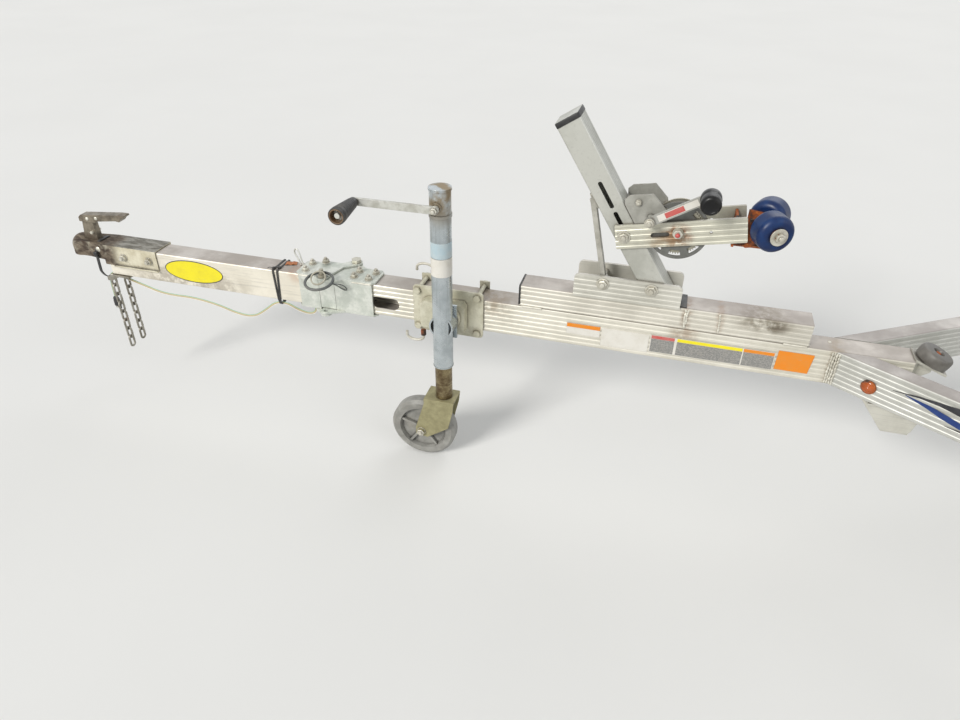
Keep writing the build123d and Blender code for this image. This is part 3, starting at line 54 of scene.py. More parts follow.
TONGUE_HALF = 0.0381
TONGUE_H = 0.1016
SIDE_Y = -TONGUE_HALF
MITRE_X = 2.332
RAIL_SPREAD = math.radians(32)
RAIL_MID_Y = 0.5346
RAIL_INNER_Y = 0.5085
CROSS_X = (3.290, 4.020, 4.890)
AXLE_X, WHEEL_Y, WHEEL_Z = 3.780, 0.690, -0.2596
ARM_LENGTH, ARM_DROP = 0.150, 0.057
FENDER_FACE_Y = 0.5652
STUDS, STUD_CIRCLE = 5, 0.050
BUNK_Y = 0.235
BUNK_W, BUNK_T = 0.098, 0.044
BUNK_TILT = math.radians(15)
STAPLES = 22
PAD_X, PAD_Z = 2.566, 0.004
PAD_TILT = math.radians(22)
JACK_X, JACK_Y, JACK_Z = 1.296, -0.126, -0.045
JACK_CRANK_Z = JACK_Z + 0.357
JACK_CRANK_ARM = 0.215
CASTER_TRAIL, CASTER_DROP = 0.065, 0.373
COUPLER_BOLT_X = (0.181, 0.276)
CHAIN_X, CHAIN_Y, CHAIN_DROP = 0.100, 0.028, 0.030
LINKS = 8
ARM_BOLTS = ((1.720, 0.107), (1.848, 0.107), (1.759, 0.246))
DRUM_X, DRUM_Z = 1.889, 0.276
CRANK_X, CRANK_Z = 1.818, 0.306
CRANK_ARM = 0.153
CRANK_TURN = math.radians(31)
POST_X, POST_Z = 1.922, 0.004
POST_LENGTH, POST_FOOT_CUT = 0.547, 0.060
POST_LEAN = math.radians(32.6)
ROLLER_YAW = math.radians(22)
MARKER_X, MARKER_Z = 2.415, -0.058
LAMP_X, LAMP_W = 4.950, 0.150
LAMP_Z = (-0.088, -0.008)


def at(x, y, z):
    return Vector((x - X_MID, y, z + Z_TOP))


# Camera

PHOTO_FOCAL_PX = 714.1
PHOTO_WIDTH_PX = 960
CAMERA_PLACE = (-0.6240, -1.7689, 1.5074)
CAMERA_YAW = math.radians(-15.233)
CAMERA_PITCH = math.radians(33.624)
CAMERA_ROLL = math.radians(0.7255)


def add_camera():
    data = bpy.data.cameras.new("camera")
    data.sensor_width = 36
    data.lens = PHOTO_FOCAL_PX * data.sensor_width / PHOTO_WIDTH_PX
    data.clip_start = 0.05
    data.clip_end = 100
    camera = bpy.data.objects.new("camera", data)
    bpy.context.scene.collection.objects.link(camera)
    forward = Vector((math.sin(CAMERA_YAW) * math.cos(CAMERA_PITCH),
                      math.cos(CAMERA_YAW) * math.cos(CAMERA_PITCH), -math.sin(CAMERA_PITCH)))
    level = Vector((math.cos(CAMERA_YAW), -math.sin(CAMERA_YAW), 0))
    lift = level.cross(forward)
    right = level * math.cos(CAMERA_ROLL) + lift * math.sin(CAMERA_ROLL)
    up = lift * math.cos(CAMERA_ROLL) - level * math.sin(CAMERA_ROLL)
    matrix = Matrix((right, up, -forward)).transposed().to_4x4()
    matrix.translation = CAMERA_PLACE
    camera.matrix_world = matrix
    bpy.context.scene.camera = camera


# Materials

def rgb(code):
    """Linear colour of an sRGB hex code."""
    values = [int(code[i:i + 2], 16) / 255 for i in (0, 2, 4)]
    return tuple(v / 12.92 if v <= 0.04045 else ((v + 0.055) / 1.055) ** 2.4 for v in values) + (1.0,)


class Look:
    """A procedural material in the part's own coordinates, with its colour laid on in layers."""

    def __init__(self, name, **sockets):
        self.material = bpy.data.materials.new(name)
        self.material.use_nodes = True
        self.nodes = self.material.node_tree.nodes
        self.links = self.material.node_tree.links
        self.shader = self.nodes["Principled BSDF"]
        for key, value in sockets.items():
            self.shader.inputs[key.replace("_", " ")].default_value = value
        coordinates = self.nodes.new("ShaderNodeTexCoord")
        self.place = coordinates.outputs["Object"]
        self.facing = coordinates.outputs["Normal"]

    def feed(self, socket, value):
        if isinstance(value, bpy.types.NodeSocket):
            self.links.new(value, socket)
        else:
            socket.default_value = value

    def add(self, kind, *values, **named):
        """A node whose inputs are fed by number and by name."""
        node = self.nodes.new(kind)
        for key, value in [*enumerate(values), *named.items()]:
            self.feed(node.inputs[key], value)
        return node

    def noise(self, scale, detail=5.0, roughness=0.55, stretch=None):
        """Cloudy pattern from 0 to 1, with scale in features per metre."""
        source = self.place
        if stretch:
            source = self.add("ShaderNodeMapping", Vector=self.place, Scale=stretch).outputs[0]
        node = self.add("ShaderNodeTexNoise", Vector=source, Scale=scale, Detail=detail, Roughness=roughness)
        return node.outputs[0]

    def levels(self, value, low, high, top=1.0, bottom=0.0):
        node = self.add("ShaderNodeMapRange", value, low, high, bottom, top)
        node.interpolation_type = "SMOOTHSTEP"
        return node.outputs["Result"]

    def patches(self, scale, detail, low, high, top=1.0, roughness=0.55):
        return self.levels(self.noise(scale, detail, roughness), low, high, top)

    def between(self, value, low, high):
        """A value from low to high that follows a pattern."""
        return self.levels(value, 0.3, 0.7, high, low)

    def cells(self, scale, top):
        node = self.add("ShaderNodeTexVoronoi", Scale=scale, Vector=self.place)
        return self.levels(node.outputs["Color"], 0.2, 0.9, top)

    def number(self, operation, a, b):
        node = self.add("ShaderNodeMath", a, b)
        node.operation = operation
        return node.outputs[0]

    def times(self, a, b):
        return self.number("MULTIPLY", a, b)

    def plus(self, a, b):
        return self.number("ADD", a, b)

    def larger(self, a, b):
        return self.number("MAXIMUM", a, b)

    def vector(self, operation, *values):
        node = self.add("ShaderNodeVectorMath", *values)
        node.operation = operation
        return node.outputs["Value" if operation in ("DOT_PRODUCT", "LENGTH") else "Vector"]

    def mix(self, factor, a, b):
        node = self.nodes.new("ShaderNodeMix")
        node.data_type = "RGBA"
        for key, value in ((0, factor), (6, a), (7, b)):
            self.feed(node.inputs[key], rgb(value) if isinstance(value, str) else value)
        return node.outputs[2]

    def base(self, pattern, low, high, tone, dull, top=1.0):
        self.colour = self.mix(self.levels(pattern, low, high, top), tone, dull)

    def over(self, factor, tone):
        """Another layer of colour, laid where the factor is 1."""
        self.colour = self.mix(factor, self.colour, tone)

    def crevice(self, distance, top=1.0):
        """1 in corners and gaps, 0 on open faces, from ambient occlusion; darker tones laid on it are painted
        shade.
        """
        node = self.add("ShaderNodeAmbientOcclusion", Distance=distance)
        node.samples = 6
        return self.levels(node.outputs["AO"], 0.95, 0.45, top)

    def upward(self, top=1.0):
        """1 on faces that look up, 0 on the others."""
        apart = self.add("ShaderNodeSeparateXYZ", self.facing)
        return self.levels(apart.outputs["Z"], 0.5, 0.9, top)

    def round_normal(self, radius):
        node = self.add("ShaderNodeBevel", Radius=radius)
        node.samples = 4
        return node.outputs[0]

    def edge(self, radius, top=1.0):
        """1 along edges that wear, 0 on faces."""
        geometry = self.nodes.new("ShaderNodeNewGeometry")
        dot = self.vector("DOT_PRODUCT", self.round_normal(radius), geometry.outputs["Normal"])
        return self.levels(dot, 0.985, 0.85, top)

    def spot(self, centre, radius, stretch=(1, 1, 1), top=1.0):
        """1 near a place, fading to 0 at the radius."""
        apart = self.vector("SUBTRACT", self.place, centre)
        away = self.vector("LENGTH", self.vector("MULTIPLY", apart, stretch))
        return self.levels(away, radius, radius * 0.25, top)

    def finish(self, rough=None, height=None, strength=0.3, depth=0.0004, rounding=0.001, metal=None):
        """The material with its colour, roughness, bumps and rounded edges."""
        inputs = self.shader.inputs
        self.feed(inputs["Base Color"], self.colour)
        for key, value in (("Roughness", rough), ("Metallic", metal)):
            if value is not None:
                self.links.new(value, inputs[key])
        normal = self.round_normal(rounding) if rounding else None
        if height is not None:
            bump = self.add("ShaderNodeBump", Strength=strength, Distance=depth, Height=height)
            if normal:
                self.links.new(normal, bump.inputs["Normal"])
            normal = bump.outputs[0]
        if normal:
            self.links.new(normal, inputs["Normal"])
        return self.material


def aluminium(name, tone="dedacd", dull="c8c4b6", grime_and_shade=0.4, ribs=True, stains=(), top="aaa29d",
              weathered_and_shaded_tops=0.72):
    """Extruded aluminium: drawn lines, oxide, tops darkened by weathering and by painted shade, grime,
    painted shade in corners and gaps, and stains at given places.
    """
    look = Look(name, Metallic=0.35, Roughness=0.45)
    lines = look.noise(1.0, 6, stretch=(2.5, 260, 260) if ribs else (9, 150, 150))
    clouds = look.noise(6.5, 8, 0.62)
    look.base(clouds, 0.38, 0.66, tone, dull)
    # Upward faces darker: weathered oxide, with painted shade on the tops.
    look.over(look.upward(weathered_and_shaded_tops), look.mix(look.levels(clouds, 0.34, 0.6), top, "8d837f"))
    look.over(look.levels(lines, 0.5, 0.72, 0.3), "96948e")
    look.over(look.patches(210, 4, 0.66, 0.74, 0.45, 0.7), "7e7568")
    dirt = look.patches(2.6, 10, 0.54, 0.78, grime_and_shade, 0.68)
    look.over(dirt, "8e8577")
    # Painted shade in corners and gaps.
    look.over(look.crevice(0.006, 0.45), "6a6459")
    for place, radius, stretch, code, amount in stains:
        spot = look.spot(place, radius, stretch, amount)
        look.over(look.times(spot, look.patches(38, 7, 0.34, 0.6, roughness=0.7)), code)
    rough = look.levels(look.plus(clouds, look.times(dirt, 0.5)), 0.3, 0.9, 0.66, 0.33)
    height = look.plus(look.times(lines, 0.6), look.times(look.noise(140, 3), 0.35))
    return look.finish(rough, height, 0.35, 0.00025)


def plated(name, tone, dull, rusting=0.5, metallic=0.7, rough=(0.3, 0.55), spangle=0.0, rust="7b4a2c",
           grime_and_shade="6d6456", corner_shade=0.7):
    """Plated or galvanised steel, with rust in specks, in patches and along its edges, and painted shade in
    its corners.
    """
    look = Look(name, Metallic=metallic, Roughness=0.45)
    clouds = look.noise(22, 8, 0.65)
    look.base(clouds, 0.36, 0.64, tone, dull)
    if spangle:
        look.over(look.cells(130, spangle), dull)
    specks = look.patches(160, 7, 0.6, 0.7, rusting, 0.75)
    spots = look.larger(specks, look.patches(17, 9, 0.56, 0.7, rusting, 0.7))
    edge = look.times(look.edge(0.0016, rusting), look.patches(70, 5, 0.4, 0.65))
    rusty = look.larger(spots, edge)
    look.over(rusty, look.mix(look.patches(90, 5, 0.3, 0.7), rust, "4c2f20"))
    # Painted shade in corners and gaps.
    look.over(look.crevice(0.007, corner_shade), grime_and_shade)
    roughness = look.plus(look.between(clouds, *rough), look.times(rusty, 0.35))
    metal = look.levels(rusty, 0.1, 0.9, metallic * 0.25, metallic)
    height = look.plus(look.times(look.noise(260, 4), 0.5), look.times(rusty, 0.8))
    return look.finish(roughness, height, 0.35, 0.0003, metal=metal)


def moulded(name, tone, worn, rough=(0.35, 0.55), dust=0.35, dust_tone="9a9284", grain=420, depth=0.0002,
            corner_shade=0.6, **sockets):
    """Plastic or rubber with a fine grain, scuffs on its edges, dust, and painted shade in its corners."""
    look = Look(name, Roughness=0.45, **sockets)
    clouds = look.noise(30, 7, 0.6)
    look.base(clouds, 0.35, 0.7, tone, worn, 0.6)
    look.over(look.times(look.edge(0.002, 0.7), look.patches(110, 6, 0.42, 0.62)), worn)
    dusty = look.patches(12, 9, 0.5, 0.78, dust, 0.7)
    look.over(dusty, dust_tone)
    # Painted shade in corners and gaps.
    look.over(look.crevice(0.008, corner_shade), "2b2824")
    roughness = look.plus(look.between(clouds, *rough), look.times(dusty, 0.4))
    height = look.plus(look.times(look.noise(grain, 3), 0.6), look.times(clouds, 0.6))
    return look.finish(roughness, height, 0.3, depth)


def coupler_look():
    """Zinc coupler: pale sides, a scuffed dark top, and grease and rust over its nose, darkened further by a
    painted shadow; painted shade in its corners.
    """
    look = Look("coupler_zinc", Metallic=0.4, Roughness=0.5)
    clouds = look.noise(22, 8, 0.65)
    scuffs = look.noise(1.0, 7, 0.62, (26, 90, 60))
    look.base(clouds, 0.36, 0.66, "e0dac4", "c4bca3")
    look.over(look.patches(120, 7, 0.58, 0.7, 0.5, 0.75), "8a7f69")
    look.over(look.upward(0.88), look.mix(look.levels(scuffs, 0.42, 0.6), "48453f", "8d8b85"))
    # The nose is darkened by grease and by a painted shadow.
    nose = look.levels(look.spot(at(0.02, 0.0, -0.02), 0.19, (1, 0.4, 0.4)), 0.1, 0.6)
    nose = look.times(nose, look.levels(clouds, 0.3, 0.52, 1.0, 0.55))
    look.over(nose, look.mix(look.levels(scuffs, 0.4, 0.66), "43372e", "7c7060"))
    look.over(look.patches(60, 9, 0.6, 0.7, 0.6, 0.75), "6b452c")
    # Painted shade in corners and gaps.
    look.over(look.crevice(0.008, 0.7), "3c342c")
    rough = look.levels(look.plus(clouds, look.times(nose, 0.3)), 0.3, 0.9, 0.68, 0.4)
    return look.finish(rough, look.noise(260, 4), 0.35, 0.0003)


def rusted(name, base="3a302a", rust="9a4f22", bright="c4773a"):
    look = Look(name, Metallic=0.1, Roughness=0.8)
    big = look.noise(24, 9, 0.7)
    small = look.noise(190, 6, 0.7)
    look.base(big, 0.4, 0.56, base, rust)
    look.over(look.levels(look.times(big, small), 0.27, 0.4), bright)
    # Painted shade in corners and gaps.
    look.over(look.crevice(0.01, 0.6), "241b16")
    return look.finish(look.between(small, 0.62, 0.95), look.plus(big, look.times(small, 0.6)), 0.6, 0.0009)


def vinyl(name, tone, faded):
    """Sticker: faded, scratched, with dirt in its scratches."""
    look = Look(name, Roughness=0.4)
    clouds = look.noise(26, 8, 0.65)
    look.base(clouds, 0.4, 0.7, tone, faded, 0.55)
    look.over(look.levels(look.noise(1.0, 5, stretch=(60, 300, 900)), 0.66, 0.72, 0.5), "a39c8f")
    look.over(look.patches(330, 5, 0.66, 0.72, 0.5, 0.7), "6f6759")
    return look.finish(look.between(clouds, 0.3, 0.5), look.noise(220, 3), 0.12, 0.0001)


def grey_label_look():
    """Grey panel of a label whose surface is mottled light and dark."""
    look = Look("label_grey", Roughness=0.42)
    clouds = look.noise(30, 7, 0.65)
    look.base(look.noise(1.0, 4, 0.75, (240, 120, 460)), 0.44, 0.56, "787876", "96948f")
    look.over(look.levels(clouds, 0.5, 0.7, 0.4), "9a958c")
    return look.finish(look.between(clouds, 0.34, 0.5), look.noise(220, 3), 0.12, 0.0001)


def carpet_look():
    look = Look("bunk_carpet", Roughness=0.95, Sheen_Weight=0.4, Sheen_Roughness=0.5)
    fibres = look.noise(900, 3, 0.8)
    tufts = look.noise(230, 5, 0.7)
    look.base(fibres, 0.35, 0.7, "24252a", "55565c")
    look.over(look.patches(5, 6, 0.5, 0.72, 0.5), "6b675f")
    return look.finish(look.between(tufts, 0.86, 1.0), look.plus(fibres, tufts), 0.9, 0.0015, rounding=0)


def tyre_look():
    look = Look("tyre_rubber", Roughness=0.8)
    clouds = look.noise(14, 8, 0.65)
    look.base(clouds, 0.35, 0.7, "232322", "3a3936")
    look.over(look.patches(7, 10, 0.48, 0.76, 0.5, 0.7), "6f6a60")
    look.over(look.crevice(0.006, 0.7), "55504a")
    return look.finish(look.between(clouds, 0.66, 0.9), look.noise(500, 4), 0.4, 0.0003)


def lens_look(name, tone, deep):
    look = Look(name, Roughness=0.12, Transmission_Weight=0.25, Coat_Weight=0.6, Coat_Roughness=0.08,
                IOR=1.49)
    look.base(look.noise(18, 6), 0.3, 0.7, tone, deep)
    haze = look.patches(40, 8, 0.5, 0.75, 0.3, 0.7)
    look.over(haze, "b49c88")
    rough = look.levels(haze, 0.0, 0.3, 0.42, 0.1)
    return look.finish(rough, look.noise(300, 3), 0.08, 0.0001, rounding=0.0006)


def tube_look():
    """Bright galvanised jack tube, dirty near its top, with painted shade in its corners."""
    look = Look("jack_tube", Metallic=0.85, Roughness=0.3)
    clouds = look.noise(16, 8, 0.6)
    look.base(clouds, 0.35, 0.7, "c3cacd", "a5adb0")
    look.over(look.levels(look.noise(1.0, 6, stretch=(140, 140, 5)), 0.52, 0.74, 0.35), "8a8f8e")
    top_dirt = look.spot(at(JACK_X, JACK_Y, 0.34), 0.11, top=0.9)
    top_dirt = look.times(top_dirt, look.levels(clouds, 0.36, 0.56))
    look.over(top_dirt, "8f7d5f")
    rust = look.patches(150, 8, 0.62, 0.7, 0.55, 0.75)
    look.over(look.times(rust, look.spot(at(JACK_X, JACK_Y, 0.33), 0.16)), "6d3f22")
    # Painted shade in corners and gaps.
    look.over(look.crevice(0.006, 0.7), "5b5348")
    rough = look.levels(look.plus(clouds, top_dirt), 0.3, 1.1, 0.55, 0.22)
    return look.finish(rough, look.noise(320, 4), 0.16, 0.0002)


def inner_tube_look():
    look = Look("jack_inner_tube", Metallic=0.8, Roughness=0.3)
    rings = look.noise(1.0, 5, stretch=(3, 3, 240))
    clouds = look.noise(34, 8, 0.7)
    look.base(clouds, 0.35, 0.65, "8f8262", "5b4a35")
    look.over(look.levels(rings, 0.5, 0.72, 0.6), "4b3a2a")
    look.over(look.patches(120, 6, 0.62, 0.72, 0.5), "c2b48c")
    return look.finish(look.between(clouds, 0.24, 0.5), rings, 0.25, 0.0002)


def frame_look():
    """Winch frame: grey paint, with a darker disc over the gear, and painted shade in its corners."""
    look = Look("winch_frame_paint", Metallic=0.35, Roughness=0.45)
    clouds = look.noise(24, 8, 0.65)
    look.base(clouds, 0.36, 0.66, "abaaa2", "94938b")
    disc = look.levels(look.spot(at(DRUM_X, 0.0, DRUM_Z), 0.12, (1, 0, 1)), 0.3, 0.4)
    near = look.levels(look.spot(at(DRUM_X, -0.0358, DRUM_Z), 0.009, (0, 1, 0)), 0.3, 0.6)
    look.over(look.times(disc, near), look.mix(look.levels(clouds, 0.4, 0.7, 0.6), "6f706c", "55534e"))
    look.over(look.times(look.edge(0.0016, 0.9), look.patches(80, 6, 0.4, 0.6)), "6b5a49")
    look.over(look.patches(60, 9, 0.6, 0.7, 0.6, 0.72), "6f4529")
    # Painted shade in corners and gaps.
    look.over(look.crevice(0.01, 0.7), "3f3a34")
    return look.finish(look.between(clouds, 0.36, 0.58), look.noise(250, 4), 0.25, 0.0003)


def post_look():
    """Winch post, brushed along its length, with painted shade in its corners."""
    look = Look("winch_post_metal", Metallic=0.55, Roughness=0.4)
    brushed = look.noise(1.0, 6, stretch=(120, 180, 120))
    clouds = look.noise(6, 8, 0.62)
    look.base(clouds, 0.38, 0.68, "c4c4bc", "aaaaa1")
    look.over(look.patches(230, 4, 0.64, 0.72, 0.45, 0.7), "837a6c")
    look.over(look.levels(brushed, 0.55, 0.75, 0.3), "9b9a95")
    look.over(look.patches(4, 10, 0.55, 0.78, 0.5, 0.68), "8f8676")
    # Painted shade in corners and gaps.
    look.over(look.crevice(0.008, 0.7), "575046")
    return look.finish(look.between(clouds, 0.34, 0.52), brushed, 0.25, 0.0002)


def wire_look(tone, worn, name):
    return moulded("wire_" + name, tone, worn, dust=0.1, grain=700, corner_shade=0.1)


def stained(x, z, radius, stretch, code, amount):
    return at(x, SIDE_Y, z), radius, stretch, code, amount


LOOKS = {}


def make_looks():
    LOOKS.update({
        "tongue_rear": aluminium("tongue_rear_aluminium", grime_and_shade=0.55, stains=(
            stained(1.95, 0.0, 0.05, (1, 0.4, 0.6), "8a6a4a", 0.5),
            stained(2.335, -0.05, 0.06, (1.6, 0.4, 0.5), "8d7a5e", 0.55),
            stained(1.39, -0.005, 0.06, (0.5, 0.4, 1), "86755c", 0.6))),
        "tongue_front": aluminium("tongue_front_aluminium", "efe9da", "ddd7c8", 0.35, False, (
            stained(0.40, -0.09, 0.16, (0.5, 0.3, 2), "6d5f4c", 0.5),
            stained(0.80, 0.0, 0.05, (1, 0.4, 1), "a0662f", 0.35)), "bab3b0"),
        "riser": aluminium("riser_aluminium", "d6d2c6", "c0bcb0", 0.5, stains=(
            stained(2.145, 0.050, 0.080, (0.8, 0.3, 2.2), "6c614e", 0.72),
            stained(2.175, 0.044, 0.036, (0.9, 0.3, 1.6), "574c3d", 0.62),
            stained(1.948, 0.04, 0.045, (2.2, 0.3, 0.6), "7c5c3d", 0.6),
            stained(2.034, 0.05, 0.04, (2.4, 0.3, 0.5), "8a6a4a", 0.4))),
        "rails": aluminium("rail_aluminium", "c3c3bd", "b1b1aa", 0.35, top="aaa39d"),
        "arms": aluminium("winch_arm_aluminium", "c8c6b6", "b0aea0", 0.45, True, (
            stained(1.889, 0.268, 0.042, (0.8, 0.3, 1), "7a4a2e", 0.95),
            stained(1.87, 0.245, 0.06, (0.8, 0.3, 1), "8a7254", 0.7)), "b9b6ad", 0.5),
        "plates": aluminium("base_plate_aluminium", "cdcbc1", "b7b5aa", 0.42, weathered_and_shaded_tops=0.3),
        "fender": aluminium("fender_metal", "cfd1d2", "bcbec0", 0.35),
        "post": post_look(),
        "galvanised": plated("galvanised_steel", "bfc2c2", "9fa3a3", 0.25, rough=(0.38, 0.58), spangle=0.5),
        "mount": plated("jack_mount_zinc", "d3d0bd", "b8b49f", 0.32, 0.35, (0.42, 0.62)),
        "hinge": plated("hinge_galvanised", "dcded6", "bcc1b8", 0.16, 0.4, (0.4, 0.6), 0.4, grime_and_shade="868579",
                        corner_shade=0.55),
        "pins": plated("pin_zinc", "c9c6b8", "a4a090", 0.3, 0.5, (0.3, 0.5)),
        "chain": plated("chain_zinc", "a8a59b", "7d786c", 0.75, rough=(0.4, 0.6)),
        "coupler": coupler_look(),
        "latch": plated("latch_plate", "8d8474", "5f574b", 0.6, 0.5, rust="5d3a25"),
        "olive": plated("fork_yellow_zinc", "a19b77", "8a8463", 0.3, 0.3, (0.45, 0.62), rust="5f4a2d"),
        "crank": plated("crank_zinc", "d2d2cb", "aeada3", 0.28, 0.5, (0.35, 0.55)),
        "bolts": plated("bolt_zinc", "d9d6ca", "b7b3a5", 0.2, 0.5, (0.28, 0.48), grime_and_shade="7c7566", corner_shade=0.45),
        "winch_arm": plated("winch_crank_plate", "b3b3ac", "96968f", 0.22, 0.4, (0.35, 0.55)),
        "drum": plated("winch_drum_zinc", "b4b1a2", "8d8977", 0.45),
        "strut": plated("strut_galvanised", "bab8af", "9c9a90", 0.22, 0.4, (0.4, 0.6)),
        "weld": plated("weld_bead", "d8d5c9", "bdb9ac", 0.3, 0.25, (0.45, 0.65), rust="8a7254",
                       grime_and_shade="8d8678", corner_shade=0.5),
        "rusty": rusted("rusted_bracket"),
        "tube": tube_look(),
        "inner_tube": inner_tube_look(),
        "winch_frame": frame_look(),
        "wheel_plastic": moulded("caster_plastic", "7d7c77", "a3a29c", dust=0.5),
        "blue": moulded("roller_blue", "06204c", "0d376a", rough=(0.3, 0.44), dust=0.08, dust_tone="3c5078",
                        grain=160, Specular_IOR_Level=0.35),
        "pad": moulded("pad_rubber", "5d5a55", "7a7771", dust=0.45),
        "black": moulded("black_rubber", "1c1c1d", "3c3b39", dust=0.22),
        "gloss_black": moulded("knob_plastic", "0b0b0c", "161617", rough=(0.25, 0.42), dust=0.05,
                               Specular_IOR_Level=0.3),
        "grip_rubber": moulded("grip_rubber", "262626", "434240", dust=0.25),
        "grip_inside": moulded("grip_inside", "5d452f", "8f7555", dust=0.3),
        "strap": moulded("webbing", "23262e", "43464d", grain=900, depth=0.0006),
        "tape": moulded("tape", "a4571f", "c07c46", dust=0.5),
        "lanyard": moulded("lanyard_sleeve", "4d504f", "777975", dust=0.25, grain=700),
        "wire_white": wire_look("e8e6db", "d8d6c9", "white"),
        "wire_yellow": wire_look("d8ce98", "ccc49a", "yellow"),
        "wire_green": wire_look("8fbda5", "a6c9b6", "green"),
        "wire_brown": wire_look("b9a283", "c6b397", "brown"),
        "tyre": tyre_look(),
        "carpet": carpet_look(),
        "red_lens": lens_look("red_lens", "a80f12", "6e080b"),
        "amber_lens": lens_look("amber_lens", "dc6a0e", "9a4508"),
        "clear_lens": lens_look("clear_lens", "e6e4dc", "c9c6bc"),
        "white": vinyl("label_white", "d6d3cb", "c4bfb3"),
        "yellow": vinyl("label_yellow", "e6d81a", "d2c22c"),
        "orange": vinyl("label_orange", "de8214", "cf8a3a"),
        "red": vinyl("label_red", "bd4f4a", "bd7f78"),
        "ink": vinyl("label_black", "26262a", "4a4a4e"),
        "silver": vinyl("label_silver", "a9bcc3", "c6c7c3"),
        "stripe_blue": vinyl("stripe_blue", "12306c", "2b4a84"),
        "grey": grey_label_look(),
    })


CAD_LOOKS = {
    "tongue_rear": "tongue_rear",
    "tongue_front": "tongue_front",
    "riser": "riser",
    "rails": "rail_left rail_right crossmembers",
    "arms": "winch_arms",
    "plates": "hull_pad_bracket drop_bracket post_base_plates",
    "fender": "fender_left fender_right",
    "post": "winch_post",
    "galvanised": "axle_beam axle_arms bunk_brackets tie_down_eyes rim_left rim_right hub_left hub_right",
    "mount": "jack_mount",
    "hinge": "hinge_leaf_rear hinge_leaf_front",
    "pins": "hinge_pivot_pin hinge_pull_pin",
    "chain": "chain_anchor",
    "coupler": "coupler",
    "latch": "coupler_latch",
    "olive": "caster_fork",
    "crank": "jack_crank",
    "bolts": "winch_axle",
    "winch_arm": "winch_crank",
    "drum": "winch_drum",
    "strut": "post_strut",
    "rusty": "bow_bracket",
    "tube": "jack_outer",
    "inner_tube": "jack_inner",
    "winch_frame": "winch_frame",
    "wheel_plastic": "caster_wheel",
    "blue": "bow_roller_left bow_roller_right",
    "black": "harness_grommet",
}


def dress_cad():
    for look, nodes in CAD_LOOKS.items():
        for node in nodes.split():
            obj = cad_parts[node]
            if not obj.material_slots:
                obj.data.materials.append(LOOKS[look])
            for slot in obj.material_slots:
                slot.link = "OBJECT"
                slot.material = LOOKS[look]


# Mesh building

def turns(count):
    """Angles in equal steps round a full turn."""
    return [2 * math.pi * k / count for k in range(count)]


def circle(radius, count=12, start=0.0):
    return [(radius * math.cos(start + a), radius * math.sin(start + a)) for a in turns(count)]


def rounded(width, height, radius, steps=4):
    points = []
    for x, y, turn in ((1, 1, 0), (-1, 1, 90), (-1, -1, 180), (1, -1, 270)):
        for k in range(steps + 1):
            a = math.radians(turn + 90 * k / steps)
            points.append((x * (width / 2 - radius) + radius * math.cos(a),
                           y * (height / 2 - radius) + radius * math.sin(a)))
    return points


def scaled(outline, x_scale, y_scale=None):
    y_scale = x_scale if y_scale is None else y_scale
    return [(u * x_scale, v * y_scale) for u, v in outline]


def inset(points, distance):
    """A convex or nearly convex outline moved inwards."""
    count = len(points)
    area = 0.0
    for (x0, y0), (x1, y1) in zip(points, points[1:] + points[:1]):
        area += x0 * y1 - x1 * y0
    sign = 1 if area > 0 else -1
    result = []
    for i in range(count):
        a, b, c = (Vector(points[(i + k) % count]) for k in (-1, 0, 1))
        first = (b - a).normalized()
        second = (c - b).normalized()
        normal = Vector((-first.y - second.y, first.x + second.x))
        normal = normal.normalized() if normal.length > 1e-9 else Vector((-first.y, first.x))
        result.append(tuple(b + normal * distance * sign))
    return result


def spread(origin, x_dir, y_dir, outline):
    return [origin + x_dir * u + y_dir * v for u, v in outline]


def square_to(axis):
    """Two directions square to an axis and to each other."""
    axis = Vector(axis).normalized()
    side = axis.orthogonal().normalized()
    return side, axis.cross(side)


